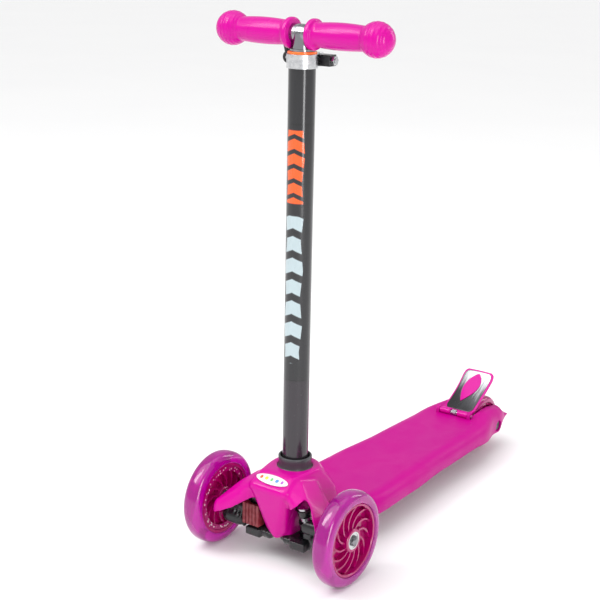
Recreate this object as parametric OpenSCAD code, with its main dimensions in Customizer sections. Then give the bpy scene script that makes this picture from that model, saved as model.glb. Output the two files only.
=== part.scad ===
// Three-wheeled kick scooter for a small child: two lighted front wheels that
// steer as the board is leaned, twin rear wheels under a foot brake and a
// telescopic T-bar. X points forward, Y to the rider's left, Z up, z = 0 is
// the ground and the origin lies under the middle of the whole scooter.

/* [Overall] */
// Distance from the front axle to the rear axle
wheelbase = 490; // [450:5:560]
// Distance between the middles of the two front wheels
track = 198; // [190:2:230]
// Height of the handlebar's centre line with the bar fully down
bar_height = 650; // [560:5:760]
// How far the handlebar can be pulled up
bar_travel = 200; // [100:10:220]
// Distance between the centres of the two grip ends
grip_span = 202; // [190:2:260]

/* [Front wheels] */
// Diameter of a front wheel over its tyre
front_wheel_d = 120; // [110:2:130]
// Width of a front tyre
front_tyre_w = 25; // [22:1:30]
// Depth of the tyre outside its hub
front_tyre_depth = 14; // [11:1:18]
// Number of curved vanes in a front hub
vane_count = 12; // [8:1:16]
// Width of a front hub between its bearing faces
front_hub_w = 22; // [20:1:24]

/* [Rear wheels] */
// Diameter of a rear wheel
rear_wheel_d = 80; // [70:2:90]
// Width of one rear wheel
rear_tyre_w = 21; // [18:1:24]
// Gap between the twin rear wheels
rear_gap = 3; // [2:0.5:6]
// Number of spokes in a rear hub
rear_spokes = 6; // [3:1:8]

/* [Bearings and axles] */
// Outside diameter of a wheel bearing
bearing_d = 22; // [19:1:24]
// Width of a wheel bearing
bearing_w = 7; // [5:1:8]
// Diameter of the axle bolts
axle_d = 8; // [6:1:9]
// Running clearance between a pin and its bore, measured on the radius
running_fit = 0.04; // [0.02:0.01:0.10]

/* [Deck] */
// Height of the standing surface above the ground
deck_top = 63; // [58:1:75]
// Depth of the deck's side wall
deck_depth = 27; // [22:1:32]
// Widest half width of the deck, behind the front wheels
deck_wide = 69; // [60:1:80]
// Half width of the deck at its waist
deck_waist = 61; // [52:1:66]
// Half width of the deck over the rear axle
deck_tail = 46; // [44:1:54]
// Wall thickness of the deck moulding
deck_wall = 3.2; // [2.5:0.1:5]
// How far the tail reaches behind the rear axle
tail_reach = 42; // [41:1:55]

/* [Steering] */
// How far the kingpins lean forward at the top, in degrees
kingpin_rake = 20; // [10:1:25]
// Distance from the middle of the scooter to a kingpin
kingpin_y = 36; // [32:1:40]
// Diameter of a kingpin
kingpin_d = 10; // [8:1:12]
// Length of the horns that the tie rod joins
horn_len = 26; // [22:1:28]
// How far the kingpins stand behind the front axle
kingpin_back = 8; // [5:1:9]

/* [Steering column] */
// Outside diameter of the steering tube
tube_d = 32; // [28:1:35]
// Wall of the steering tube
tube_wall = 1.7; // [1.2:0.1:2.5]
// How far the column stands behind the front axle
column_setback = 29; // [26:1:34]
// Height of the socket's rim above the ground
socket_rim = 134; // [126:1:150]
// Outside diameter of the socket
socket_d = 42; // [38:1:48]
// Outside diameter of the sliding stem
stem_d = 28; // [24:1:28]
// Outside diameter of the handlebar's cross tube
cross_d = 22; // [19:1:25]

/* [Clamp] */
// Height of the clamp band
clamp_h = 16; // [14:1:22]
// Wall of the clamp band
clamp_wall = 2.2; // [1.5:0.1:3]
// Diameter of the clamp bolt
clamp_bolt_d = 6; // [5:1:8]

/* [Grips] */
// Diameter of a grip's ball end
ball_d = 41; // [34:1:46]
// Diameter of a grip at its middle
grip_d = 31; // [27:1:34]
// Diameter of a grip's inner flange
flange_d = 36; // [32:1:40]
// Distance between the two inner flanges
flange_gap = 24; // [22:1:32]

/* [Foot brake] */
// Width of the brake plate
brake_w = 46; // [38:1:50]
// Gap from the brake plate to the tyres at rest
brake_gap = 3; // [2:0.5:6]
// Thickness of the brake plate
brake_t = 3.4; // [3:0.2:5]
// Radius of the brake plate's upward sweep
brake_sweep = 237; // [180:5:320]

/* [Hidden] */
$fn = 64;
clear = 0.3;
side_play = 0.2;
touch = 0.05;

front_r = front_wheel_d / 2;
rear_r = rear_wheel_d / 2;
overall = front_r + wheelbase + tail_reach;
front_x = overall / 2 - front_r;
rear_x = front_x - wheelbase;
wheel_y = track / 2;
column_x = front_x - column_setback;
axle_r = axle_d / 2;
bore_r = axle_r + running_fit;
bearing_r = bearing_d / 2;

// Truck: a C-shaped casting whose plates hold the kingpins
plate_t = 10;
plate_low = 28;
plate_high = 84;
lug_r = 9.5;
plate_half = kingpin_y + lug_r;
web_half = 31;
web_t = 8;
web_x = front_x - 52;
snout_half = 19;
lug_inner = snout_half + 4;
kingpin_x = front_x - kingpin_back;
kingpin_z = front_r - 2;
pin_r = kingpin_d / 2;
knuckle_r = pin_r + 5.5;
knuckle_low = -14;
knuckle_high = 5;
seat_high = (plate_high - plate_t - kingpin_z) / cos(kingpin_rake) - 2.3;
seat_low = (plate_low + plate_t - kingpin_z) / cos(kingpin_rake) + 1;
lug_top = (plate_high - kingpin_z) / cos(kingpin_rake) - 1.7;
lug_foot = (plate_low - kingpin_z) / cos(kingpin_rake) + 1.7;
spring_wire = 2;
spring_turns = 4;
horn_low = -12;
horn_t = 6;
tie_pin_r = 3;
tie_t = 6;
arm_reach = wheel_y - front_tyre_w / 2 - 2.5;
arm_r = 11;

// Nose cover
nose_wall = 3;
nose_top = 121;
nose_reach = wheel_y - front_tyre_w / 2 - 9.5;
nose_rear = front_x - 72;
nose_screw_x = column_x - 4;
nose_screw_y = 27;

// Deck outline, as half widths along the deck
deck_front = web_x - clear;
deck_base = deck_top - deck_depth;
well_front = rear_x + rear_r + 12;
cheek_in = rear_tyre_w + rear_gap / 2 + 3.5;
deck_stations = [
    [deck_front, 43],
    [deck_front - 42, deck_wide - 5],
    [deck_front - 85, deck_wide],
    [deck_front - 150, deck_wide - 2],
    [(deck_front + rear_x) / 2 - 40, deck_waist],
    [rear_x + 70, deck_waist - 2],
    [rear_x, deck_tail],
    [rear_x - tail_reach, deck_tail - 8]
];
outline_step = 12;

// Column and clamp
tube_r = tube_d / 2;
tube_foot = plate_high + 4;
stem_r = stem_d / 2;
ball_r = ball_d / 2;
bar_stem_gap = 19;
ring_h = 3.5;
tube_top = bar_height - bar_stem_gap - ring_h;
clamp_low = tube_top - clamp_h;
clamp_in = tube_r + touch;
clamp_out = clamp_in + clamp_wall;
stem_foot = tube_top - bar_travel - 60;
bolt_x = -(clamp_out + 6);
bolt_z = clamp_low + clamp_h / 2;
lug_half = 8;
block_len = 18;
cam_r = 7;
lever_y = -(lug_half + block_len + 1 + clear + cam_r);
nut_y = lug_half + block_len;

// Foot brake: the centre of its sweep lies above and in front of the axle
brake_half = brake_w / 2;
brake_skin_t = 0.8;
sweep_lean = 59.5;
sweep_reach = rear_r + brake_gap + brake_t + brake_skin_t + brake_sweep;
sweep_x = rear_x + sweep_reach * cos(sweep_lean);
sweep_z = rear_r + sweep_reach * sin(sweep_lean);
brake_pivot_x = well_front + 5;
brake_pivot_z = deck_top + 5;
sweep_tip = 224;
sweep_root = 180 + acos((sweep_x - well_front + 1.2) / (brake_sweep + brake_t + brake_skin_t));

// ---- shared helpers ----

// Turns a shape built along Z so that it lies along Y
module along_y() rotate([-90, 0, 0]) children();

// Turns a shape built along Z so that it lies along X
module along_x() rotate([0, 90, 0]) children();

// Puts a shape on the left (+1) or the right (-1) of the scooter
module on_side(side) mirror([0, side < 0 ? 1 : 0, 0]) children();

// The frame of the left kingpin: Z runs up the pin, -X points at the horn
module kingpin_frame() translate([kingpin_x, kingpin_y, kingpin_z]) rotate([0, kingpin_rake, 0]) children();

module tube(outer, inner, length) {
    difference() {
        cylinder(r = outer, h = length);
        translate([0, 0, -1]) cylinder(r = inner, h = length + 2);
    }
}

module hex_prism(across, length) cylinder(d = across / cos(30), h = length, $fn = 6);

// Smooth step between stations, so that the outline has no corners
function blend(t) = (1 - cos(180 * t)) / 2;
function half_at(x, list, i = 0) =
    i >= len(list) - 2 || x >= list[i + 1][0]
        ? list[i][1] + (list[i + 1][1] - list[i][1])
            * blend(min(1, max(0, (x - list[i][0]) / (list[i + 1][0] - list[i][0]))))
        : half_at(x, list, i + 1);

// Closed outline between two stations, pulled in by a wall
function outline(from_x, to_x, inset) =
    let (count = ceil((from_x - to_x) / outline_step))
    let (xs = [for (i = [0 : count]) from_x + (to_x - from_x) * i / count])
    concat(
        [for (x = xs) [x, half_at(x, deck_stations) - inset]],
        [for (i = [count : -1 : 0]) [xs[i], -(half_at(xs[i], deck_stations) - inset)]]
    );

// ---- deck ----

rib_t = 2.4;
rib_pitch = 46;
front_wall = 9;
boss_r = 5;
truck_bolt_y = 20;
screw_r = 2;

// Side view of a tail cheek: a pointed end round the axle
module cheek_profile() {
    polygon([
        [well_front + 30, deck_top], [well_front + 30, deck_base],
        [rear_x + 22, deck_base - 6], [rear_x - 8, deck_base - 8],
        [rear_x - tail_reach, rear_r + 4],
        [rear_x - 14, deck_top + 3], [rear_x + 14, deck_top + 6],
        [well_front, deck_top + 3]
    ]);
}

module deck_shell() {
    difference() {
        translate([0, 0, deck_base])
            linear_extrude(height = deck_depth) polygon(outline(deck_front, well_front, 0));
        translate([0, 0, deck_base - 1])
            linear_extrude(height = deck_depth - deck_wall + 1)
                polygon(outline(deck_front - front_wall, well_front + 5, deck_wall));
    }
}

module deck_ribs() {
    rib_h = deck_depth - deck_wall - 4;
    run = deck_front - front_wall - well_front - 5;
    intersection() {
        union() {
            for (y = [-28, 0, 28])
                translate([well_front + 4, y - rib_t / 2, deck_base + 4]) cube([run + 2, rib_t, rib_h + 0.5]);
            for (i = [1 : floor(run / rib_pitch)])
                translate([deck_front - front_wall - i * rib_pitch, -deck_wide, deck_base + 4])
                    cube([rib_t, 2 * deck_wide, rib_h + 0.5]);
        }
        translate([0, 0, deck_base])
            linear_extrude(height = deck_depth) polygon(outline(deck_front, well_front, deck_wall / 2));
    }
}

module tail_cheeks() {
    for (side = [1, -1])
        intersection() {
            on_side(side) translate([0, cheek_in, 0]) rotate([90, 0, 0]) mirror([0, 0, 1])
                linear_extrude(height = deck_tail + 20) cheek_profile();
            translate([0, 0, deck_base - 20])
                linear_extrude(height = deck_depth + 40) polygon(outline(deck_front, rear_x - tail_reach, 0));
        }
}

module brake_lugs() {
    for (side = [1, -1])
        on_side(side) translate([brake_pivot_x, brake_half + clear, brake_pivot_z]) along_y() {
            cylinder(r = 5, h = 5);
            translate([-5, 0, 0]) cube([10, brake_pivot_z - deck_top + 1, 5]);
        }
}

module deck() {
    color("deeppink") difference() {
        union() {
            deck_shell();
            deck_ribs();
            tail_cheeks();
            brake_lugs();
            for (y = [-28, 28]) translate([deck_front - 30, y, deck_base]) cylinder(r = boss_r, h = deck_depth - 1);
        }
        translate([rear_x, 0, rear_r]) {
            translate([0, -deck_tail - 10, 0]) along_y() cylinder(r = axle_r, h = 2 * deck_tail + 20);
            for (side = [1, -1])
                on_side(side) translate([0, deck_tail - 7, 0]) along_y() cylinder(r = 8.5, h = 20);
        }
        for (side = [1, -1]) on_side(side) translate([rear_x + 16, cheek_in + deck_wall, deck_base - 10])
            cube([well_front - rear_x - 18, deck_tail - cheek_in - 2 * deck_wall, deck_depth + 10 - deck_wall]);
        translate([brake_pivot_x, -brake_half - 8, brake_pivot_z]) along_y() cylinder(r = 2, h = brake_w + 16);
        for (y = [-28, 28]) translate([deck_front - 30, y, deck_base - 1]) cylinder(r = screw_r, h = deck_depth - 3);
        for (y = [-truck_bolt_y, truck_bolt_y], z = [deck_base + 7, deck_base + 19])
            translate([deck_front - front_wall - 1, y, z]) along_x() cylinder(r = screw_r + 0.5, h = front_wall + 2);
    }
}

module deck_screws() {
    color("silver") for (y = [-28, 28])
        translate([deck_front - 30, y, deck_base]) {
            translate([0, 0, -2.6]) cylinder(r1 = 3, r2 = 4.2, h = 2.6);
            cylinder(r = screw_r, h = 16);
        }
}

// ---- front truck ----

// Plan of one truck plate: narrow at the web, wide at the lugs
module truck_plan() {
    polygon([
        [web_x, web_half], [kingpin_x - 25, web_half], [kingpin_x - 13, plate_half],
        [kingpin_x + lug_r, plate_half], [kingpin_x + lug_r, lug_inner],
        [front_x - snout_half - 2, lug_inner], [front_x - snout_half - 2, -lug_inner],
        [kingpin_x + lug_r, -lug_inner], [kingpin_x + lug_r, -plate_half],
        [kingpin_x - 13, -plate_half], [kingpin_x - 25, -web_half], [web_x, -web_half]
    ]);
}

module truck_base() {
    color([0.12, 0.12, 0.13]) difference() {
        union() {
            translate([web_x, -web_half, plate_low]) cube([web_t, 2 * web_half, plate_high - plate_low]);
            for (side = [1, -1]) on_side(side) translate([kingpin_x, lug_inner, plate_low])
                cube([buffer_front - kingpin_x, plate_half - lug_inner, plate_t]);
            for (z = [plate_low, plate_high - plate_t])
                translate([0, 0, z]) linear_extrude(height = plate_t) truck_plan();
            for (side = [1, -1]) on_side(side) kingpin_frame() {
                translate([0, 0, lug_foot]) cylinder(r = lug_r, h = seat_low - lug_foot);
                translate([0, 0, seat_high]) cylinder(r = lug_r, h = lug_top - seat_high);
            }
        }
        for (side = [1, -1]) on_side(side) kingpin_frame() {
            translate([0, 0, -50]) cylinder(r = pin_r, h = 100);
            translate([0, 0, seat_low]) cylinder(r = knuckle_r + 3, h = seat_high - seat_low);
            translate([0, 0, lug_top]) cylinder(r = lug_r + 1, h = 20);
            translate([0, 0, lug_foot - 20]) cylinder(r = lug_r + 1, h = 20);
        }
        for (y = [-truck_bolt_y, truck_bolt_y], z = [deck_base + 7, deck_base + 19])
            translate([web_x - 1, y, z]) along_x() cylinder(r = screw_r, h = web_t + 2);
        for (y = [-nose_screw_y, nose_screw_y])
            translate([nose_screw_x, y, plate_high - plate_t - 1]) cylinder(r = 2, h = plate_t + 2);
        translate([column_x, 0, plate_high - plate_t - 1]) cylinder(r = 5, h = plate_t + 2);
    }
}

module truck_bolts() {
    color("silver") for (y = [-truck_bolt_y, truck_bolt_y], z = [deck_base + 7, deck_base + 19])
        translate([deck_front - front_wall - 3, y, z]) along_x() {
            cylinder(r = 4, h = 3);
            cylinder(r = screw_r, h = front_wall + web_t + 2);
        }
}

module kingpins() {
    color("silver") for (side = [1, -1]) on_side(side) kingpin_frame() {
        translate([0, 0, lug_foot - 4]) cylinder(r = pin_r, h = lug_top - lug_foot + 4);
        translate([0, 0, lug_top]) cylinder(r = pin_r + 3, h = 3.5);
    }
}

module kingpin_nuts() {
    color("silver") for (side = [1, -1]) on_side(side) kingpin_frame()
        translate([0, 0, lug_foot - 3.5]) difference() {
            hex_prism(kingpin_d + 5, 3.5);
            translate([0, 0, -1]) cylinder(r = pin_r, h = 6);
        }
}

// Stack of turns between the knuckle and the lug above it
module centring_springs() {
    room = seat_high - knuckle_high - 2 * clear - spring_wire;
    color("silver") for (side = [1, -1]) on_side(side) kingpin_frame()
        for (i = [0 : spring_turns - 1])
            translate([0, 0, knuckle_high + clear + spring_wire / 2 + i * room / (spring_turns - 1)])
                rotate_extrude() translate([pin_r + clear + spring_wire / 2, 0]) circle(d = spring_wire, $fn = 24);
}

buffer_in = lug_inner + 2;
buffer_out = kingpin_y + 14;
buffer_front = front_x + 12.5;
buffer_low = 42;
buffer_high = 70;
buffer_ribs = 5;

// Ribbed rubber bumper bonded to the front of the right-hand arm
module steering_buffer() {
    pitch = (buffer_out - buffer_in) / buffer_ribs;
    color("brown") difference() {
        translate([kingpin_x + 8, -buffer_out, buffer_low])
            cube([buffer_front - kingpin_x - 8, buffer_out - buffer_in, buffer_high - buffer_low]);
        for (i = [1 : buffer_ribs - 1])
            translate([buffer_front - 2.5, -buffer_out + i * pitch - 0.6, buffer_low - 1]) cube([4, 1.2, 40]);
        on_side(-1) arm_blank();
        on_side(-1) kingpin_frame() {
            translate([0, 0, knuckle_high]) cylinder(r = knuckle_r + 0.5, h = 30);
            translate([0, 0, knuckle_low - 30]) cylinder(r = knuckle_r + 0.5, h = 30);
        }
    }
}

// Outside of a swing arm: knuckle, horn, shaft and web
module arm_blank() {
    kingpin_frame() {
        translate([0, 0, knuckle_low]) cylinder(r = knuckle_r, h = knuckle_high - knuckle_low);
        translate([-horn_len, -6, horn_low]) cube([horn_len, 12, horn_t]);
        translate([-horn_len, 0, horn_low]) cylinder(r = 6, h = horn_t);
    }
    translate([front_x, kingpin_y + 4, front_r]) along_y() {
        cylinder(r = arm_r, h = arm_reach - kingpin_y - 4);
        cylinder(r = 7, h = wheel_y - front_hub_w / 2 - side_play - kingpin_y - 4);
    }
    translate([front_x - 7, kingpin_y + 4, front_r - 16])
        cube([14, arm_reach - kingpin_y - 16, 16]);
}

module arm_shape() {
    difference() {
        arm_blank();
        kingpin_frame() {
            translate([0, 0, -60]) cylinder(r = pin_r + running_fit, h = 120);
            translate([-horn_len, 0, horn_low - 1]) cylinder(r = tie_pin_r, h = horn_t + 2);
            translate([0, 0, knuckle_high]) cylinder(r = knuckle_r + 4, h = 30);
            translate([0, 0, knuckle_low - 40]) cylinder(r = knuckle_r + 4, h = 40);
        }
        translate([front_x, kingpin_y + 14, front_r]) along_y() cylinder(r = axle_r, h = track);
    }
}

module swing_arm_left() { color([0.13, 0.13, 0.14]) arm_shape(); }
module swing_arm_right() { color([0.13, 0.13, 0.14]) on_side(-1) arm_shape(); }

module tie_pin() {
    kingpin_frame() translate([-horn_len, 0, horn_low]) {
        cylinder(r = tie_pin_r, h = horn_t + tie_t + 2);
        translate([0, 0, horn_t + tie_t + clear]) cylinder(r = tie_pin_r + 1.5, h = 2);
    }
}

module tie_pin_left() { color("silver") tie_pin(); }
module tie_pin_right() { color("silver") on_side(-1) tie_pin(); }

module tie_rod() {
    color([0.2, 0.2, 0.22]) kingpin_frame() translate([-horn_len, 0, horn_low + horn_t + clear / 2])
        difference() {
            union() {
                for (y = [0, -2 * kingpin_y]) translate([0, y, 0]) cylinder(r = 6, h = tie_t - clear / 2);
                translate([-4, -2 * kingpin_y, 0]) cube([8, 2 * kingpin_y, tie_t - clear / 2]);
            }
            for (y = [0, -2 * kingpin_y])
                translate([0, y, -1]) cylinder(r = tie_pin_r + running_fit, h = tie_t + 2);
        }
}

// ---- wheels, built about their own axis, outer face up ----

function crown(r, w, deep) = [for (a = [0 : 12 : 180]) [r - deep + deep * pow(sin(a), 0.75), w / 2 * cos(a)]];

module tyre_ring(r, w, hub_r, deep) {
    rotate_extrude($fn = 96) polygon(concat(crown(r, w, deep), [[hub_r, -w / 2 + 1], [hub_r, w / 2 - 1]]));
}

front_hub_r = front_r - front_tyre_depth;
front_rim_t = 4;
vane_w = 15;
vane_t = 2;
vane_sweep = 34;
front_boss_r = bearing_r + 3.5;

// One vane: a thin blade whose angle grows with the radius
function blade(inner, outer, sweep, t) = let (n = 6) concat(
    [for (i = [0 : n]) let (r = inner + (outer - inner) * i / n, a = sweep * pow(i / n, 1.4))
        [r * cos(a) + t / 2 * sin(a), r * sin(a) - t / 2 * cos(a)]],
    [for (i = [n : -1 : 0]) let (r = inner + (outer - inner) * i / n, a = sweep * pow(i / n, 1.4))
        [r * cos(a) - t / 2 * sin(a), r * sin(a) + t / 2 * cos(a)]]
);

module front_hub() {
    difference() {
        union() {
            translate([0, 0, -front_hub_w / 2]) tube(front_hub_r, front_hub_r - front_rim_t, front_hub_w);
            translate([0, 0, -front_hub_w / 2]) cylinder(r = front_boss_r, h = front_hub_w);
            translate([0, 0, -1]) cylinder(r = front_hub_r - front_rim_t / 2, h = 2);
            for (i = [0 : vane_count - 1]) rotate([0, 0, i * 360 / vane_count]) translate([0, 0, -vane_w / 2])
                linear_extrude(height = vane_w)
                    polygon(blade(front_boss_r - 1.5, front_hub_r - front_rim_t / 2, vane_sweep, vane_t));
        }
        for (z = [-front_hub_w / 2 - 1, front_hub_w / 2 - bearing_w]) translate([0, 0, z])
            cylinder(r = bearing_r, h = bearing_w + 1);
        translate([0, 0, -front_hub_w]) cylinder(r = bearing_r - 1.5, h = 2 * front_hub_w);
    }
}

light_r = front_hub_r - front_rim_t - 3.4;

module front_lights() {
    translate([0, 0, -vane_w / 2 - 1.8]) {
        tube(light_r + 3.2, light_r - 3, 1.6);
        for (i = [0 : 11]) rotate([0, 0, i * 30]) translate([light_r, 0, -1.4]) cylinder(r = 1.8, h = 1.5, $fn = 24);
    }
}

module bearing_pair(w) {
    for (z = [-w / 2, w / 2 - bearing_w]) translate([0, 0, z]) difference() {
        tube(bearing_r, bore_r, bearing_w);
        for (face = [-0.6, bearing_w - 0.6]) translate([0, 0, face])
            tube(bearing_r - 1.7, axle_r + 1.7, 1.2);
    }
}

module front_spacer() {
    inner_w = front_hub_w - 2 * bearing_w - 2 * side_play;
    translate([0, 0, -inner_w / 2]) tube(axle_r + 1.6, axle_r, inner_w);
}

module front_magnet() {
    inner_w = front_hub_w - 2 * bearing_w;
    translate([0, 0, -inner_w / 2 + 1]) tube(axle_r + 4, axle_r + 1.6, inner_w - 2);
}

module axle_bolt() {
    head = front_hub_w / 2 + side_play;
    translate([0, 0, -(wheel_y - kingpin_y - 14)]) cylinder(r = axle_r, h = wheel_y - kingpin_y - 14 + head);
    translate([0, 0, head]) {
        cylinder(r = 6.6, h = 1);
        intersection() {
            hex_prism(11, 4);
            translate([0, 0, -5]) sphere(r = 9);
        }
    }
}

module at_front_wheel(side) on_side(side) translate([front_x, wheel_y, front_r]) along_y() children();

module front_tyre(side) at_front_wheel(side)
    tyre_ring(front_r, front_tyre_w, front_hub_r, front_tyre_depth - 3);

module front_tyre_left() { color([0.8, 0.0, 0.65]) front_tyre(1); }
module front_tyre_right() { color([0.8, 0.0, 0.65]) front_tyre(-1); }
module front_hub_left() { color([0.75, 0.0, 0.5]) at_front_wheel(1) front_hub(); }
module front_hub_right() { color([0.75, 0.0, 0.5]) at_front_wheel(-1) front_hub(); }
module front_lights_left() { color("white") at_front_wheel(1) front_lights(); }
module front_lights_right() { color("white") at_front_wheel(-1) front_lights(); }
module front_bearings_left() { color("silver") at_front_wheel(1) bearing_pair(front_hub_w); }
module front_bearings_right() { color("silver") at_front_wheel(-1) bearing_pair(front_hub_w); }
module front_spacer_left() { color("silver") at_front_wheel(1) front_spacer(); }
module front_spacer_right() { color("silver") at_front_wheel(-1) front_spacer(); }
module front_magnet_left() { color("dimgray") at_front_wheel(1) front_magnet(); }
module front_magnet_right() { color("dimgray") at_front_wheel(-1) front_magnet(); }
module axle_bolt_left() { color("silver") at_front_wheel(1) axle_bolt(); }
module axle_bolt_right() { color("silver") at_front_wheel(-1) axle_bolt(); }

// ---- twin rear wheels ----

rear_tyre_depth = 10;
rear_hub_r = rear_r - rear_tyre_depth;
rear_rim_t = 3.5;
rear_hub_w = rear_tyre_w - 1;
rear_boss_r = bearing_r + 3;
rear_y = (rear_tyre_w + rear_gap) / 2;

module at_rear_wheel(side) on_side(side) translate([rear_x, rear_y, rear_r]) along_y() children();

module rear_hub() {
    difference() {
        union() {
            translate([0, 0, -rear_hub_w / 2]) tube(rear_hub_r, rear_hub_r - rear_rim_t, rear_hub_w);
            translate([0, 0, -rear_hub_w / 2]) cylinder(r = rear_boss_r, h = rear_hub_w);
            for (i = [0 : rear_spokes - 1]) rotate([0, 0, i * 360 / rear_spokes])
                translate([rear_boss_r - 1, -2, -rear_hub_w / 2 + 2])
                    cube([rear_hub_r - rear_boss_r - rear_rim_t / 2, 4, rear_hub_w - 6]);
        }
        for (z = [-rear_hub_w / 2 - 1, rear_hub_w / 2 - bearing_w]) translate([0, 0, z])
            cylinder(r = bearing_r, h = bearing_w + 1);
        translate([0, 0, -rear_hub_w]) cylinder(r = bearing_r - 1.5, h = 2 * rear_hub_w);
    }
}

module rear_lights() {
    for (i = [0 : 2]) rotate([0, 0, i * 120 + 30])
        translate([(rear_boss_r + rear_hub_r - rear_rim_t) / 2, 0, -rear_hub_w / 2 + 4]) {
            translate([0, 0, 1]) cylinder(r = 2.5, h = 5, $fn = 32);
            translate([0, 0, -1]) tube((rear_hub_r - rear_rim_t - rear_boss_r) / 2 - touch, 1.4, 2);
        }
}

module rear_tyre(side) at_rear_wheel(side)
    tyre_ring(rear_r, rear_tyre_w, rear_hub_r, rear_tyre_depth - 3);

module rear_tyre_left() { color([0.78, 0.0, 0.45]) rear_tyre(1); }
module rear_tyre_right() { color([0.78, 0.0, 0.45]) rear_tyre(-1); }
module rear_hub_left() { color([0.75, 0.0, 0.5]) at_rear_wheel(1) rear_hub(); }
module rear_hub_right() { color([0.75, 0.0, 0.5]) at_rear_wheel(-1) rear_hub(); }
module rear_lights_left() { color("white") at_rear_wheel(1) rear_lights(); }
module rear_lights_right() { color("white") at_rear_wheel(-1) rear_lights(); }
module rear_bearings_left() { color("silver") at_rear_wheel(1) bearing_pair(rear_hub_w); }
module rear_bearings_right() { color("silver") at_rear_wheel(-1) bearing_pair(rear_hub_w); }

nut_seat = deck_tail - 7;

module rear_axle() {
    color("silver") translate([rear_x, -nut_seat, rear_r]) along_y() {
        cylinder(r = axle_r, h = 2 * nut_seat + 1);
        translate([0, 0, 2 * nut_seat]) cylinder(r = 6.5, h = 4);
    }
}

module rear_axle_nut() {
    color("silver") translate([rear_x, -nut_seat - 4, rear_r]) along_y() difference() {
        hex_prism(12, 4);
        translate([0, 0, -1]) cylinder(r = axle_r, h = 6);
    }
}

// Sleeves on the axle: two outside the wheels, one between, one in each hub
module rear_spacers() {
    side_w = cheek_in - rear_y - rear_hub_w / 2 - side_play;
    hub_gap = 2 * rear_y - rear_hub_w - 2 * side_play;
    inner_w = rear_hub_w - 2 * bearing_w - 2 * side_play;
    color("silver") translate([rear_x, 0, rear_r]) along_y() {
        translate([0, 0, -hub_gap / 2]) tube(axle_r + 1.6, axle_r, hub_gap);
        for (side = [1, -1]) {
            translate([0, 0, side * (cheek_in - side_w / 2) - side_w / 2]) tube(axle_r + 1.6, axle_r, side_w);
            translate([0, 0, side * rear_y - inner_w / 2]) tube(axle_r + 1.6, axle_r, inner_w);
        }
    }
}

// ---- foot brake ----

// Curved band along the brake's sweep, between two angles about its centre
module fender_band(inner, t, half, from_a, to_a) {
    translate([sweep_x, half, sweep_z]) rotate([90, 0, 0]) rotate([0, 0, from_a])
        rotate_extrude(angle = to_a - from_a, $fn = 360) translate([inner, 0]) square([t, 2 * half]);
}

// Puts a shape on the brake's upper face, Z outwards and X towards the tip
module on_sweep(angle) translate([sweep_x, 0, sweep_z])
    rotate([0, -angle, 0]) translate([brake_sweep, 0, 0]) rotate([0, -90, 0]) children();

screw_angle = sweep_root - 4.2;

module brake_plate() {
    color("deeppink") difference() {
        union() {
            fender_band(brake_sweep + brake_skin_t, brake_t, brake_half, sweep_tip, sweep_root);
            translate([brake_pivot_x, -brake_half, brake_pivot_z]) along_y() cylinder(r = 4.5, h = brake_w);
            translate([brake_pivot_x - 9, -brake_half, brake_pivot_z - 4.2]) cube([9, brake_w, 6.5]);
        }
        translate([brake_pivot_x, -brake_half - 1, brake_pivot_z]) along_y()
            cylinder(r = 2 + running_fit, h = brake_w + 2);
        translate([brake_pivot_x, -6, brake_pivot_z]) along_y() cylinder(r = 5.2, h = 12);
        on_sweep(screw_angle) translate([0, 0, -20]) cylinder(r = 1.9, h = 40);
    }
}

module brake_skin() {
    color("silver") difference() {
        fender_band(brake_sweep, brake_skin_t, brake_half - 2.5, sweep_tip + 0.7, sweep_root - 1.6);
        on_sweep((sweep_tip + sweep_root) / 2 - 2) rotate([0, 0, 16]) intersection() {
            translate([0, -33, -3]) cylinder(r = 40, h = 6, $fn = 128);
            translate([0, 33, -3]) cylinder(r = 40, h = 6, $fn = 128);
        }
        on_sweep(screw_angle) translate([0, 0, -20]) cylinder(r = 1.9, h = 40);
    }
}

module brake_screw() {
    color("silver") on_sweep(screw_angle) {
        translate([0, 0, -brake_t - 0.2]) cylinder(r = 1.9, h = brake_t + 0.2);
        cylinder(r1 = 3.6, r2 = 2.6, h = 1.4);
    }
}

module brake_pin() {
    color("silver") translate([brake_pivot_x, -brake_half - 6, brake_pivot_z]) along_y() cylinder(r = 2, h = brake_w + 12);
}

module brake_spring() {
    color("silver") translate([brake_pivot_x, 0, brake_pivot_z]) along_y()
        for (i = [-2 : 2]) translate([0, 0, i * 1.8])
            rotate_extrude() translate([3.3, 0]) circle(d = 1.6, $fn = 20);
}

// ---- nose cover ----

module ball(p, r) translate(p) sphere(r = r, $fn = 24);

// Head of the cover: a dome round the socket that rolls down to the brow
module nose_dome(g) {
    hull() {
        translate([column_x, 0, 100]) cylinder(r = 31 - g, h = nose_top - 100 - g, $fn = 48);
        for (y = [-1, 1]) {
            ball([front_x + 6, y * 21, 112.5], 8 - g);
            ball([front_x + 21, y * 23, 103], 8 - g);
            ball([front_x + 6, y * 20, 84], 8 - g);
            ball([nose_rear + 14, y * 32, deck_top + 24], 9 - g);
            translate([nose_rear + 2 + g, y * 34 - 8 + (y > 0 ? 0 : g), deck_top]) cube([8, 16 - g, 4]);
        }
    }
}

// Snout: the box that hangs down in front of the truck
module nose_snout() {
    hull() {
        for (y = [-1, 1]) {
            ball([front_x + 3, y * (snout_half - 6), 92], 8);
            ball([front_x - 2, y * (snout_half - 7), 37], 7);
            translate([front_x - 19, y * (snout_half - 1) - 1, 36]) cube([2, 2, 60]);
        }
    }
}

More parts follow.
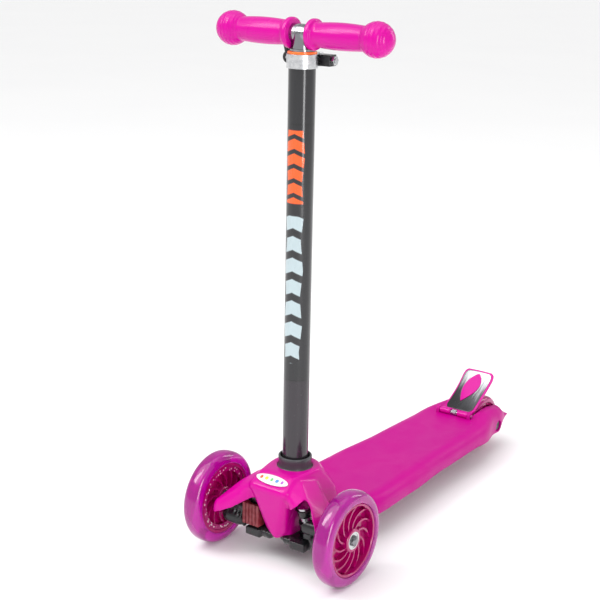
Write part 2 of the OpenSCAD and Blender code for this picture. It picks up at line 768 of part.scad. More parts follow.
// One arm: a roof that falls outwards to the inside of the wheel
module nose_arm(g) {
    hull() {
        translate([column_x - 8, 12, 88 - g]) cube([42 - g, 4, 28]);
        ball([front_x + 13, 22, 106], 7 - g);
        ball([front_x + 10, 36, 100], 8 - g);
        ball([front_x + 16, 30, 90], 6 - g);
        for (x = [-14, 33]) ball([front_x + x, nose_reach - 7, 70], 7 - g);
        for (x = [-21 + g, 33]) translate([front_x + x, nose_reach - 14, 58]) cube([7 - g, 13 - g, 6]);
    }
}

module nose_cover() {
    color("deeppink") difference() {
        union() {
            nose_dome(0);
            nose_snout();
            for (side = [1, -1]) on_side(side) nose_arm(0);
        }
        difference() {
            union() {
                nose_dome(nose_wall);
                for (side = [1, -1]) on_side(side) nose_arm(nose_wall);
                translate([front_x - 60, -snout_half + nose_wall, 0])
                    cube([58, 2 * (snout_half - nose_wall), 100]);
            }
            for (y = [-nose_screw_y, nose_screw_y])
                translate([nose_screw_x, y, plate_high]) cylinder(r = 4.5, h = 60);
        }
        for (y = [-nose_screw_y, nose_screw_y])
            translate([nose_screw_x, y, plate_high - 1]) cylinder(r = 1.9, h = 13);
        translate([column_x, 0, plate_high]) cylinder(r = socket_d / 2 + clear, h = 100);
        translate([nose_rear - 20, -100, 0]) cube([deck_front - nose_rear + 20, 200, deck_top]);
        translate([deck_front - 1, -100, 0]) cube([front_x - 24 - deck_front, 200, 72]);
        for (side = [1, -1]) on_side(side) {
            translate([front_x - 26, 0, 0]) rotate([90, 0, 90]) linear_extrude(height = 100) polygon([
                [snout_half, -1], [snout_half, 74], [snout_half + 4, 83], [snout_half + 12, 83],
                [52, 68], [nose_reach, 57], [nose_reach + 20, 57], [nose_reach + 20, -1]
            ]);
            translate([front_x - 23, nose_reach - 14, 0]) cube([44, 30, 74]);
            kingpin_frame() translate([0, 0, lug_foot - 6]) cylinder(r = lug_r + 1, h = lug_top + 10.5 - lug_foot);
        }
        translate([0, 0, plate_low]) linear_extrude(height = plate_high - plate_low) offset(delta = 0.5) truck_plan();
        badge_shape(clear);
    }
}

badge_t = 1;

// Oval plate let into the sloping brow
module badge_shape(gap) {
    translate([front_x + 17.8, 0, 114.5]) rotate([0, 32.3, 0]) intersection() {
        translate([-37.6, 0, -badge_t]) cylinder(r = 44.6 + gap, h = 2 * badge_t, $fn = 128);
        translate([37.6, 0, -badge_t]) cylinder(r = 44.6 + gap, h = 2 * badge_t, $fn = 128);
    }
}

module nose_badge() { color("white") badge_shape(0); }

module nose_screws() {
    color("silver") for (y = [-nose_screw_y, nose_screw_y])
        translate([nose_screw_x, y, plate_high - plate_t - 2.5]) {
            cylinder(r = 3.6, h = 2.5);
            cylinder(r = 1.9, h = plate_t + 12);
        }
}

// ---- steering column ----

socket_gap = 2.3;

module column_socket() {
    color([0.2, 0.2, 0.22]) translate([column_x, 0, 0]) difference() {
        translate([0, 0, plate_high]) cylinder(r = socket_d / 2, h = socket_rim - plate_high);
        translate([0, 0, tube_foot]) cylinder(r = tube_r, h = 200);
        translate([0, 0, socket_rim - 16]) cylinder(r = tube_r + socket_gap, h = 200);
    }
}

module steering_tube() {
    color([0.24, 0.24, 0.25]) translate([column_x, 0, tube_foot]) difference() {
        tube(tube_r, tube_r - tube_wall, tube_top - tube_foot);
        translate([-tube_r - 5, -1.5, tube_top - tube_foot - clamp_h - 10])
            cube([tube_r, 3, 60]);
    }
}

module seal_ring() {
    color([0.96, 0.38, 0.1]) translate([column_x, 0, tube_top]) {
        tube(tube_r + 1.2, stem_r + running_fit, ring_h - 0.5);
        translate([0, 0, -14]) tube(tube_r - tube_wall, stem_r + running_fit, 14);
    }
}

// The clamp's own frame: the tube's axis, with the bolt along Y behind it
module at_clamp() translate([column_x, 0, 0]) children();

module clamp_band() {
    color("silver") at_clamp() difference() {
        union() {
            translate([0, 0, clamp_low]) cylinder(r = clamp_out, h = clamp_h);
            translate([bolt_x - 6, -lug_half, clamp_low]) cube([6 - tube_r - bolt_x, 2 * lug_half, clamp_h]);
        }
        translate([0, 0, clamp_low - 1]) cylinder(r = clamp_in, h = clamp_h + 2);
        translate([bolt_x - 10, -1.5, clamp_low - 1]) cube([10 - bolt_x - tube_r + 4, 3, clamp_h + 2]);
        translate([bolt_x, -30, bolt_z]) along_y() cylinder(r = clamp_bolt_d / 2, h = 60);
    }
}

module clamp_bolt() {
    color("silver") at_clamp() difference() {
        translate([bolt_x, lever_y, bolt_z]) {
            along_y() cylinder(r = clamp_bolt_d / 2, h = nut_y + 5 - lever_y);
            translate([-clamp_bolt_d / 2 - 0.2, 0, 0]) along_x() cylinder(r = 4.5, h = clamp_bolt_d + 0.4);
        }
        translate([bolt_x - 10, lever_y, bolt_z]) along_x() cylinder(r = 2, h = 20);
    }
}

// Plastic blocks between the lugs and the bolt's two ends
module clamp_blocks() {
    color([0.1, 0.1, 0.1]) at_clamp() for (side = [1, -1]) on_side(side) difference() {
        translate([bolt_x - 6.5, lug_half, bolt_z - 6.5]) cube([13, block_len, 13]);
        translate([bolt_x, lug_half - 1, bolt_z]) along_y() cylinder(r = clamp_bolt_d / 2, h = block_len + 2);
    }
}

module clamp_nut() {
    color("silver") at_clamp() translate([bolt_x, nut_y, bolt_z]) along_y() difference() {
        hex_prism(10, 4);
        translate([0, 0, -1]) cylinder(r = clamp_bolt_d / 2, h = 10);
    }
}

// Cross pin through the bolt, on which the lever turns
module clamp_pivot() {
    color("silver") at_clamp() translate([bolt_x - 8, lever_y, bolt_z]) along_x() cylinder(r = 2, h = 16);
}

module clamp_washer() {
    color("silver") at_clamp() translate([bolt_x, -lug_half - block_len - 1, bolt_z]) along_y()
        tube(6.2, clamp_bolt_d / 2, 1);
}

// Curved lever: an arc of bar that stands up beside the clamp
lever_arc = 34;
lever_w = 10;
fork_gap = clamp_bolt_d + 0.8;

module clamp_lever() {
    color([0.1, 0.1, 0.1]) at_clamp() difference() {
        union() {
            translate([bolt_x - 7, lever_y, bolt_z]) along_x() cylinder(r = cam_r, h = 14);
            translate([bolt_x - lever_w / 2, lever_y - 4 - lever_arc, bolt_z]) rotate([90, 0, 90])
                rotate_extrude(angle = 38, $fn = 96) translate([lever_arc + 0.5, 0]) square([4.5, lever_w]);
        }
        translate([bolt_x - 10, lever_y, bolt_z]) along_x() cylinder(r = 2 + running_fit, h = 20);
        translate([bolt_x - fork_gap / 2, lever_y, bolt_z]) along_x() cylinder(r = cam_r + 1, h = fork_gap);
    }
}

// ---- handlebar ----

neck_r = min(cross_d / 2 + 0.6, flange_gap / 2 - 0.3);
neck_z = bar_height - flange_d / 2 + 1;

module t_bar() {
    color([0.45, 0.45, 0.47]) difference() {
        union() {
            translate([column_x, 0, stem_foot]) cylinder(r = stem_r, h = neck_z - stem_foot);
            translate([column_x, 0, neck_z - 1]) cylinder(r = neck_r, h = bar_height - neck_z + 1);
            translate([column_x, -grip_span / 2, bar_height]) along_y() cylinder(r = cross_d / 2, h = grip_span);
        }
        translate([column_x, 0, stem_foot - 1]) cylinder(r = stem_r - 1.6, h = neck_z - stem_foot - 1);
        translate([column_x, -grip_span, bar_height]) along_y() cylinder(r = cross_d / 2 - 1.6, h = 2 * grip_span);
    }
}

// Half section of a grip, from its inner flange to the ball end
module grip_profile() {
    inner = flange_gap / 2;
    barrel = inner + 14;
    ball_y = grip_span / 2;
    bulge = [for (i = [0 : 8]) [grip_d / 2 - 1.8 * pow(abs(i - 4) / 4, 2), barrel + (ball_y - ball_r * 0.78 - barrel) * i / 8]];
    polygon(concat(
        [[cross_d / 2, inner], [flange_d / 2 - 3, inner], [flange_d / 2, inner + 3], [flange_d / 2, inner + 7], [flange_d / 2 - 2.5, inner + 10]],
        bulge,
        [for (a = [48 : -6 : -84]) [ball_r * cos(a), ball_y - ball_r * sin(a)]],
        [[1, ball_y + ball_r], [1, ball_y], [cross_d / 2, ball_y]]
    ));
}

module grip(side) {
    color("deeppink") on_side(side) translate([column_x, 0, bar_height]) along_y()
        rotate_extrude($fn = 64) grip_profile();
}

module grip_left() { grip(1); }
module grip_right() { grip(-1); }

deck();
deck_screws();
nose_cover();
nose_badge();
nose_screws();
truck_base();
truck_bolts();
kingpins();
kingpin_nuts();
centring_springs();
steering_buffer();
swing_arm_left();
swing_arm_right();
tie_pin_left();
tie_pin_right();
tie_rod();
front_tyre_left();
front_tyre_right();
front_hub_left();
front_hub_right();
front_lights_left();
front_lights_right();
front_bearings_left();
front_bearings_right();
front_spacer_left();
front_spacer_right();
front_magnet_left();
front_magnet_right();
axle_bolt_left();
axle_bolt_right();
rear_tyre_left();
rear_tyre_right();
rear_hub_left();
rear_hub_right();
rear_lights_left();
rear_lights_right();
rear_bearings_left();
rear_bearings_right();
rear_axle();
rear_axle_nut();
rear_spacers();
brake_plate();
brake_skin();
brake_pin();
brake_spring();
brake_screw();
column_socket();
steering_tube();
clamp_band();
clamp_bolt();
clamp_blocks();
clamp_washer();
clamp_nut();
clamp_lever();
clamp_pivot();
seal_ring();
t_bar();
grip_left();
grip_right();
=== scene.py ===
import math
import bpy
import bmesh
from mathutils import Matrix, Vector


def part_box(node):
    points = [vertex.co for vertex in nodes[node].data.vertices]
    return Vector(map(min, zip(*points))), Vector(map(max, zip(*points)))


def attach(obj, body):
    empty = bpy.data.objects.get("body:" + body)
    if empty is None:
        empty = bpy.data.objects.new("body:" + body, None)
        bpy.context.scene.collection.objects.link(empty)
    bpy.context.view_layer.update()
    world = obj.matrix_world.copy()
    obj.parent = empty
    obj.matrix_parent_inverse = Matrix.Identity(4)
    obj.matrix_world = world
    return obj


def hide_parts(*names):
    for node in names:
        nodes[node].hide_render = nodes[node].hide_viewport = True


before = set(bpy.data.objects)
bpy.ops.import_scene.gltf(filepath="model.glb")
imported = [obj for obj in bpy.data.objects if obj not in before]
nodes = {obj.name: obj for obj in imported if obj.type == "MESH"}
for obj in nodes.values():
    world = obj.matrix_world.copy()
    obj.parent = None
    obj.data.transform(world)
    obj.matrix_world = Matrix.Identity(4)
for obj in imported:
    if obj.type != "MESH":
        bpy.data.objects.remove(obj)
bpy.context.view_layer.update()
mm = 0.001


def boxOf(node):
    low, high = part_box(node)
    return Vector(low), Vector(high)


def middleOf(node):
    low, high = boxOf(node)
    return (low + high) / 2


# places taken from the CAD nodes; sides are 1 for left and -1 for right
sideName = {1: "left", -1: "right"}
frontAxle = {side: middleOf("front_tyre_" + word) for side, word in sideName.items()}
rearAxle = {side: middleOf("rear_tyre_" + word) for side, word in sideName.items()}
columnX = middleOf("steering_tube").x
barZ = middleOf("grip_left").z


# ---- general modelling helpers

def cleanMesh(bm):
    bmesh.ops.remove_doubles(bm, verts=bm.verts, dist=1e-6)
    bmesh.ops.recalc_face_normals(bm, faces=bm.faces)


def spinProfile(profile, steps=96, closed=True):
    # profile is a list of (radius, height) in metres, turned about Z
    bm = bmesh.new()
    verts = [bm.verts.new((r, 0, h)) for r, h in profile]
    edges = [bm.edges.new(pair) for pair in zip(verts, verts[1:])]
    if closed:
        edges.append(bm.edges.new((verts[-1], verts[0])))
    bmesh.ops.spin(bm, geom=verts + edges, cent=(0, 0, 0), axis=(0, 0, 1), dvec=(0, 0, 0),
                   angle=2 * math.pi, steps=steps, use_merge=True)
    cleanMesh(bm)
    return bm


def arcPoints(centre, radius, start, end, count):
    turns = [math.radians(start + (end - start) * i / count) for i in range(count + 1)]
    return [(centre[0] + radius * math.cos(a), centre[1] + radius * math.sin(a)) for a in turns]


def lay(bm, centre, direction=(0, 0, 1)):
    # moves a shape to its place, with its Z axis along a direction
    turn = Vector((0, 0, 1)).rotation_difference(Vector(direction)).to_matrix().to_4x4()
    bmesh.ops.transform(bm, matrix=Matrix.Translation(centre) @ turn, verts=bm.verts)
    return bm


def addTo(bm, other):
    scratch = bpy.data.meshes.new("scratch")
    other.to_mesh(scratch)
    other.free()
    bm.from_mesh(scratch)
    bpy.data.meshes.remove(scratch)


def bevelEdges(bm, edges, offset, segments):
    bmesh.ops.bevel(bm, geom=edges, offset=offset, segments=segments, profile=0.5,
                    affect="EDGES", material=-1)


def cornersOf(bm):
    # edges where two faces meet at more than 60 degrees
    return [e for e in bm.edges if len(e.link_faces) == 2 and e.calc_face_angle(0) > math.radians(60)]


def linkObject(name, data):
    thing = bpy.data.objects.new(name, data)
    bpy.context.scene.collection.objects.link(thing)
    return thing


def makePiece(bm, name, body, material, replaced=(), sharp=35):
    mesh = bpy.data.meshes.new(name)
    bm.to_mesh(mesh)
    bm.free()
    mesh.shade_smooth()
    mesh.set_sharp_from_angle(angle=math.radians(sharp))
    piece = linkObject(name, mesh)
    mesh.materials.append(material)
    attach(piece, body)
    if replaced:
        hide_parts(*replaced)
    return piece


def settle(piece):
    # bakes a piece's modifiers into its mesh
    graph = bpy.context.evaluated_depsgraph_get()
    mesh = bpy.data.meshes.new_from_object(piece.evaluated_get(graph))
    piece.modifiers.clear()
    old = piece.data
    piece.data = mesh
    bpy.data.meshes.remove(old)
    mesh.name = piece.name


def hullOf(balls):
    # one rounded mass stretched over balls given as (x, y, z, radius) in millimetres
    bm = bmesh.new()
    for x, y, z, radius in balls:
        bmesh.ops.create_icosphere(bm, subdivisions=3, radius=radius * mm,
                                   matrix=Matrix.Translation((x * mm, y * mm, z * mm)))
    skin = bmesh.ops.convex_hull(bm, input=bm.verts)
    inner = {v for v in skin["geom_interior"] if isinstance(v, bmesh.types.BMVert)}
    bmesh.ops.delete(bm, geom=list(inner), context="VERTS")
    bmesh.ops.recalc_face_normals(bm, faces=bm.faces)
    return bm


def cutAway(piece, cutter):
    # takes a closed shape out of a piece, after the modifiers it already has
    mesh = bpy.data.meshes.new("cutter")
    cutter.to_mesh(mesh)
    cutter.free()
    tool = linkObject("cutter", mesh)
    cut = piece.modifiers.new("cut", "BOOLEAN")
    cut.operation = "DIFFERENCE"
    cut.solver = "EXACT"
    cut.object = tool
    settle(piece)
    bpy.data.objects.remove(tool)
    bpy.data.meshes.remove(mesh)


def remeshAndRelax(piece, voxel, rounds):
    remesh = piece.modifiers.new("mould", "REMESH")
    remesh.mode = "VOXEL"
    remesh.voxel_size = voxel
    relax = piece.modifiers.new("relax", "SMOOTH")
    relax.factor = 0.5
    relax.iterations = rounds
    settle(piece)


def mouldedFrom(node, name, body, material, voxel, rounds, masses, cuts=()):
    # a softer copy of a CAD node, merged with rounded masses and relaxed until its edges look moulded
    bm = bmesh.new()
    bm.from_mesh(nodes[node].data)
    bmesh.ops.remove_doubles(bm, verts=bm.verts, dist=1e-6)
    for mass in masses:
        addTo(bm, hullOf(mass))
    piece = makePiece(bm, name, body, material, (node,), 180)
    remeshAndRelax(piece, voxel, rounds)
    if cuts:
        cutter = bmesh.new()
        for cut in cuts:
            addTo(cutter, hullOf(cut))
        cutAway(piece, cutter)
        remeshAndRelax(piece, voxel, 5)
    piece.data.shade_smooth()


# ---- shader helpers and the groups shared by the materials

def addNode(tree, kind, values, **settings):
    # settings are the node's own options; values fill its inputs with numbers or links
    node = tree.nodes.new("ShaderNode" + kind)
    for key, value in settings.items():
        setattr(node, key, value)
    for key, value in values.items():
        if isinstance(value, bpy.types.NodeSocket):
            tree.links.new(value, node.inputs[key])
        else:
            node.inputs[key].default_value = value
    return node


def noiseOf(tree, vector, scale, detail, distortion=0.0):
    values = {"Vector": vector, "Scale": scale, "Detail": detail, "Distortion": distortion}
    return addNode(tree, "TexNoise", values).outputs["Fac"]


def rangeOf(tree, value, low, high, toLow=0.0, toHigh=1.0, curve="LINEAR"):
    values = {"Value": value, "From Min": low, "From Max": high, "To Min": toLow, "To Max": toHigh}
    return addNode(tree, "MapRange", values, interpolation_type=curve).outputs["Result"]


def stretched(tree, vector, scale, turn=(0, 0, 0)):
    values = {"Vector": vector, "Scale": scale, "Rotation": turn}
    return addNode(tree, "Mapping", values).outputs["Vector"]


def mathOf(tree, kind, *terms):
    return addNode(tree, "Math", dict(enumerate(terms)), operation=kind).outputs[0]


def mixColour(tree, factor, first, second):
    colours = [c if isinstance(c, bpy.types.NodeSocket) else (*c, 1) for c in (first, second)]
    values = {0: factor, 6: colours[0], 7: colours[1]}
    return addNode(tree, "Mix", values, data_type="RGBA").outputs[2]


def newGroup(name, inputs, outputs):
    group = bpy.data.node_groups.new(name, "ShaderNodeTree")
    group.interface.new_socket(name="Vector", in_out="INPUT", socket_type="NodeSocketVector")
    for label, value in inputs:
        socket = group.interface.new_socket(name=label, in_out="INPUT", socket_type="NodeSocketFloat")
        socket.default_value = value
    for label in outputs:
        group.interface.new_socket(name=label, in_out="OUTPUT", socket_type="NodeSocketFloat")
    return group, group.nodes.new("NodeGroupInput").outputs, group.nodes.new("NodeGroupOutput").inputs


def mouldFinishGroup():
    # fine orange peel, handling smears and hairline scratches of a moulded part
    group, given, result = newGroup(
        "mouldFinish", [("Grain", 900.0), ("Smooth", 0.2), ("Dull", 0.35), ("Scratch", 0.3)],
        ["Roughness", "Height"])
    vector = given["Vector"]
    grain = noiseOf(group, vector, given["Grain"], 3)
    smear = noiseOf(group, vector, 24, 6, 0.6)
    hair = noiseOf(group, stretched(group, vector, (30, 900, 400), (0.2, 0.1, 0.6)), 1, 2)
    scratch = mathOf(group, "MULTIPLY", rangeOf(group, hair, 0.66, 0.74), given["Scratch"])
    rough = rangeOf(group, smear, 0.35, 0.7, given["Smooth"], given["Dull"])
    group.links.new(mathOf(group, "MULTIPLY_ADD", scratch, 0.35, rough), result["Roughness"])
    group.links.new(mathOf(group, "SUBTRACT", grain, scratch), result["Height"])
    return group


def edgeWearGroup():
    # mask of convex edges broken up by noise, for scuffs
    group, given, result = newGroup("edgeWear", [("Pointiness", 0.5), ("Amount", 0.5)], ["Mask"])
    edge = rangeOf(group, given["Pointiness"], 0.53, 0.62)
    patches = rangeOf(group, noiseOf(group, given["Vector"], 160, 5), 0.45, 0.6)
    both = mathOf(group, "MULTIPLY", edge, patches)
    group.links.new(mathOf(group, "MULTIPLY", both, given["Amount"]), result["Mask"])
    return group


mouldFinish = mouldFinishGroup()
edgeWear = edgeWearGroup()


def startMaterial(name, colour, metallic=0.0, coat=0.0, coatRoughness=0.05, ior=1.46, transmission=0.0):
    material = bpy.data.materials.new(name)
    material.use_nodes = True
    tree = material.node_tree
    shader = tree.nodes["Principled BSDF"]
    for label, value in (("Base Color", (*colour, 1)), ("Metallic", metallic), ("Coat Weight", coat),
                         ("Coat Roughness", coatRoughness), ("IOR", ior),
                         ("Transmission Weight", transmission)):
        shader.inputs[label].default_value = value
    coords = tree.nodes.new("ShaderNodeTexCoord").outputs["Object"]
    return material, tree, shader, coords


def finishOf(grain, smooth, dull, scratch, depth, soften=0.0):
    # grain is its fineness, smooth and dull are the roughness range, soften rounds edges in metres
    return {"Grain": grain, "Smooth": smooth, "Dull": dull, "Scratch": scratch,
            "depth": depth, "soften": soften}


def addFinish(tree, shader, coords, look):
    # places the shared mould finish and drives roughness and bump with it
    values = {label: look[label] for label in ("Grain", "Smooth", "Dull", "Scratch")}
    finish = addNode(tree, "Group", {"Vector": coords, **values}, node_tree=mouldFinish)
    tree.links.new(finish.outputs["Roughness"], shader.inputs["Roughness"])
    bump = addNode(tree, "Bump", {"Strength": look["depth"], "Distance": 0.0002,
                                  "Height": finish.outputs["Height"]})
    if look["soften"]:
        soft = addNode(tree, "Bevel", {"Radius": look["soften"]}, samples=6)
        tree.links.new(soft.outputs["Normal"], bump.inputs["Normal"])
    tree.links.new(bump.outputs["Normal"], shader.inputs["Normal"])


def wearInto(tree, shader, coords, base, worn, amount):
    # the base colour with its convex edges scuffed
    geometry = tree.nodes.new("ShaderNodeNewGeometry")
    wear = addNode(tree, "Group", {"Vector": coords, "Pointiness": geometry.outputs["Pointiness"],
                                   "Amount": amount}, node_tree=edgeWear)
    tree.links.new(mixColour(tree, wear.outputs["Mask"], base, worn), shader.inputs["Base Color"])


def patchyColour(tree, coords, first, second, scale):
    return mixColour(tree, noiseOf(tree, coords, scale, 4), first, second)


def shaded(colour, tone):
    return [min(1, c * tone) for c in colour]


# ---- materials

pinkLook = {"light": (0.60, 0.0, 0.27), "deep": (0.50, 0.0, 0.26), "worn": (0.70, 0.01, 0.34)}


def pinkMaterial(name, look, coat, shine, tone=1.0):
    light, deep = shaded(pinkLook["light"], tone), shaded(pinkLook["deep"], tone)
    material, tree, shader, coords = startMaterial(name, light, coat=coat)
    base = patchyColour(tree, coords, deep, light, 9.0)
    wearInto(tree, shader, coords, base, pinkLook["worn"], 0.35)
    addFinish(tree, shader, coords, look)
    shader.inputs["Specular IOR Level"].default_value = shine
    return material


def darkMaterial(name, colour, worn, look, coat=0.0):
    material, tree, shader, coords = startMaterial(name, colour, coat=coat)
    base = patchyColour(tree, coords, colour, shaded(colour, 1.35), 40.0)
    wearInto(tree, shader, coords, base, worn, 0.5)
    addFinish(tree, shader, coords, look)
    return material


def metalMaterial(name, colour, look, brushed=None, worn=(0.9, 0.9, 0.9)):
    # brushed gives how finely the brushing repeats along each axis
    material, tree, shader, coords = startMaterial(name, colour, metallic=1.0)
    base = patchyColour(tree, coords, colour, shaded(colour, 0.82), 60.0)
    if brushed:
        lines = noiseOf(tree, stretched(tree, coords, brushed), 1, 3)
        base = mixColour(tree, lines, base, shaded(colour, 0.7))
    wearInto(tree, shader, coords, base, worn, 0.4)
    addFinish(tree, shader, coords, look)
    return material


def clearMaterial(name, colour, deep, transmission, smooth):
    # tinted cast polyurethane with faint flow clouds in it
    material, tree, shader, coords = startMaterial(
        name, colour, ior=1.5, transmission=transmission, coat=0.3, coatRoughness=0.03)
    tree.links.new(patchyColour(tree, coords, colour, deep, 30.0), shader.inputs["Base Color"])
    addFinish(tree, shader, coords, finishOf(500.0, smooth, smooth + 0.1, 0.12, 0.05))
    return material


print("materials")
pinkDeck = pinkMaterial("pinkDeckPlastic", finishOf(1500.0, 0.34, 0.5, 0.18, 0.35), 0.0, 0.13, 0.84)
pinkNose = pinkMaterial("pinkNosePlastic", finishOf(700.0, 0.16, 0.26, 0.18, 0.08), 0.12, 0.2)
pinkGrip = pinkMaterial("pinkGripRubber", finishOf(1500.0, 0.2, 0.3, 0.18, 0.12), 0.15, 0.2)
blackPlastic = darkMaterial("blackPlastic", (0.007, 0.008, 0.009), (0.05, 0.05, 0.05),
                            finishOf(1100.0, 0.22, 0.4, 0.4, 0.2), 0.2)
socketPlastic = darkMaterial("socketPlastic", (0.045, 0.045, 0.05), (0.14, 0.14, 0.15),
                             finishOf(1300.0, 0.3, 0.42, 0.3, 0.25))
bufferRubber = darkMaterial("bufferRubber", (0.16, 0.012, 0.02), (0.3, 0.08, 0.09),
                            finishOf(700.0, 0.45, 0.6, 0.1, 0.4))
magnetBlack = darkMaterial("magnetFerrite", (0.02, 0.02, 0.022), (0.1, 0.1, 0.1),
                           finishOf(1600.0, 0.5, 0.65, 0.1, 0.3))
orangePlastic = darkMaterial("orangePlastic", (0.85, 0.13, 0.01), (0.95, 0.4, 0.2),
                             finishOf(900.0, 0.22, 0.34, 0.15, 0.1), 0.4)
darkChrome = metalMaterial("darkChrome", (0.30, 0.30, 0.32), finishOf(300.0, 0.07, 0.16, 0.25, 0.03))
zincSteel = metalMaterial("zincSteel", (0.62, 0.63, 0.65),
                          finishOf(900.0, 0.18, 0.34, 0.4, 0.08, 0.0003), (500, 60, 500))
aluminium = metalMaterial("satinAluminium", (0.72, 0.73, 0.75),
                          finishOf(900.0, 0.2, 0.32, 0.3, 0.08, 0.0004), (40, 40, 900))
bearingSteel = metalMaterial("bearingSteel", (0.66, 0.67, 0.68),
                             finishOf(600.0, 0.12, 0.2, 0.2, 0.03, 0.0002))
darkSteel = metalMaterial("darkSteel", (0.10, 0.10, 0.11), finishOf(900.0, 0.25, 0.4, 0.3, 0.08),
                          worn=(0.4, 0.4, 0.4))
tyreClear = clearMaterial("tyreUrethane", (0.64, 0.0, 0.43), (0.52, 0.0, 0.38), 0.62, 0.04)
hubClear = clearMaterial("hubPlastic", (0.66, 0.0, 0.24), (0.48, 0.0, 0.12), 0.42, 0.07)
rearClear = clearMaterial("rearUrethane", (0.66, 0.0, 0.28), (0.54, 0.0, 0.22), 0.45, 0.06)

lightLook = {"board": (0.36, 0.0, 0.13), "lamp": (0.95, 0.75, 0.85), "lampsPerMetre": 260}


def lightMaterial():
    # tinted ring board with small pale lamp domes, unlit
    material, tree, shader, coords = startMaterial("lightBoard", lightLook["board"], coat=0.5)
    speck = addNode(tree, "TexVoronoi", {"Vector": coords, "Scale": lightLook["lampsPerMetre"]})
    spot = rangeOf(tree, speck.outputs["Distance"], 0.2, 0.3)
    base = mixColour(tree, spot, lightLook["lamp"], lightLook["board"])
    tree.links.new(base, shader.inputs["Base Color"])
    addFinish(tree, shader, coords, finishOf(900.0, 0.15, 0.3, 0.1, 0.1))
    return material


lightBoard = lightMaterial()

# the printed wrap on the tube: heights in metres, the middle angle and half width in degrees
tubeLook = {
    "coat": (0.020, 0.020, 0.022), "low": (0.040, 0.031, 0.040),
    "orange": (0.80, 0.10, 0.01), "orangeFrom": 0.455, "orangeTo": 0.541, "orangeBars": 58.0,
    "pale": (0.42, 0.51, 0.54), "paleFrom": 0.258, "paleTo": 0.440, "paleBars": 38.0,
    "angle": 8.0, "halfWidth": 47.0, "ragged": 12.0, "slant": 0.00012,
    "seamLow": 0.236, "seamHigh": 0.548, "seamHalf": 0.0007,
}


def tubeMaterial():
    look = tubeLook
    material, tree, shader, coords = startMaterial(
        "tubeCoat", look["coat"], metallic=0.35, coat=0.45, coatRoughness=0.06)

    def calc(kind, *terms):
        return mathOf(tree, kind, *terms)

    def between(value, low, high, soft):
        rise = rangeOf(tree, value, low - soft, low + soft, 0.0, 1.0, "SMOOTHSTEP")
        fall = rangeOf(tree, value, high - soft, high + soft, 1.0, 0.0, "SMOOTHSTEP")
        return calc("MULTIPLY", rise, fall)

    split = addNode(tree, "SeparateXYZ", {"Vector": coords}).outputs
    z = split["Z"]
    angle = calc("ARCTAN2", split["Y"], calc("SUBTRACT", split["X"], columnX))
    degrees = calc("MULTIPLY", angle, math.degrees(1))
    spread = calc("ABSOLUTE", calc("SUBTRACT", degrees, look["angle"]))
    # the two blocks are broken into plain chevron bars with uneven ends
    slant = calc("MULTIPLY_ADD", spread, look["slant"], z)
    uneven = calc("PINGPONG", calc("MULTIPLY", slant, look["orangeBars"] / 2), 1.0)
    reach = calc("MULTIPLY_ADD", uneven, look["ragged"], look["halfWidth"] - look["ragged"])
    inside = calc("LESS_THAN", spread, reach)

    def barsOf(name, low, high, soft):
        bars = between(calc("FRACT", calc("MULTIPLY", slant, look[name + "Bars"])), low, high, soft)
        block = between(z, look[name + "From"], look[name + "To"], 0.0008)
        return calc("MULTIPLY", calc("MULTIPLY", block, inside), bars)

    orangeMask = barsOf("orange", 0.16, 0.84, 0.04)
    paleMask = barsOf("pale", 0.18, 0.82, 0.03)
    lowMask = between(z, -1.0, look["seamLow"], 0.004)
    seams = calc("ADD", *[between(z, look[key] - look["seamHalf"], look[key] + look["seamHalf"], 0.0003)
                          for key in ("seamLow", "seamHigh")])
    base = patchyColour(tree, coords, look["coat"], shaded(look["coat"], 1.25), 18.0)
    base = mixColour(tree, calc("MULTIPLY", lowMask, 0.6), base, look["low"])
    base = mixColour(tree, orangeMask, base, look["orange"])
    base = mixColour(tree, paleMask, base, look["pale"])
    base = mixColour(tree, calc("MULTIPLY", seams, 0.7), base, (0.01, 0.01, 0.01))
    tree.links.new(base, shader.inputs["Base Color"])
    printed = calc("MAXIMUM", orangeMask, paleMask)
    tree.links.new(calc("MULTIPLY_ADD", printed, -0.35, 0.35), shader.inputs["Metallic"])
    addFinish(tree, shader, coords, finishOf(500.0, 0.16, 0.26, 0.3, 0.04, 0.0004))
    return material


tubeCoat = tubeMaterial()

# painted shade: the plating is darkened below one height, towards the hinge, and is bright above the other
skinLookWithPaintedShade = {"low": (0.07, 0.07, 0.075), "high": (0.50, 0.51, 0.53), "from": 0.102, "to": 0.126}


def brakeSkinWithPaintedShadeMaterial():
    # plated sheet with painted shade that darkens it towards the hinge, with streaks drawn along it
    material, tree, shader, coords = startMaterial("brakePlatingWithPaintedShade", skinLookWithPaintedShade["high"], metallic=1.0)
    height = addNode(tree, "SeparateXYZ", {"Vector": coords}).outputs["Z"]
    streak = noiseOf(tree, stretched(tree, coords, (30, 520, 30)), 1, 4)
    lift = mathOf(tree, "MULTIPLY_ADD", streak, 0.04, height)
    # fade runs from the painted shade low down to the bright plating above
    fade = rangeOf(tree, lift, skinLookWithPaintedShade["from"], skinLookWithPaintedShade["to"], 0.0, 1.0, "SMOOTHSTEP")
    wearInto(tree, shader, coords, mixColour(tree, fade, skinLookWithPaintedShade["low"], skinLookWithPaintedShade["high"]),
             (0.8, 0.8, 0.8), 0.3)
    addFinish(tree, shader, coords, finishOf(900.0, 0.16, 0.3, 0.4, 0.06))
    return material


brakePlatingWithPaintedShade = brakeSkinWithPaintedShadeMaterial()

badgeLook = {
    "ground": (0.82, 0.83, 0.80), "small": 0.0024, "large": 0.0030,
    "dots": [(-0.0155, (0.75, 0.10, 0.04)), (-0.0078, (0.80, 0.55, 0.03)), (0.0, (0.08, 0.42, 0.10)),
             (0.0078, (0.03, 0.20, 0.55)), (0.0155, (0.35, 0.05, 0.45))],
}


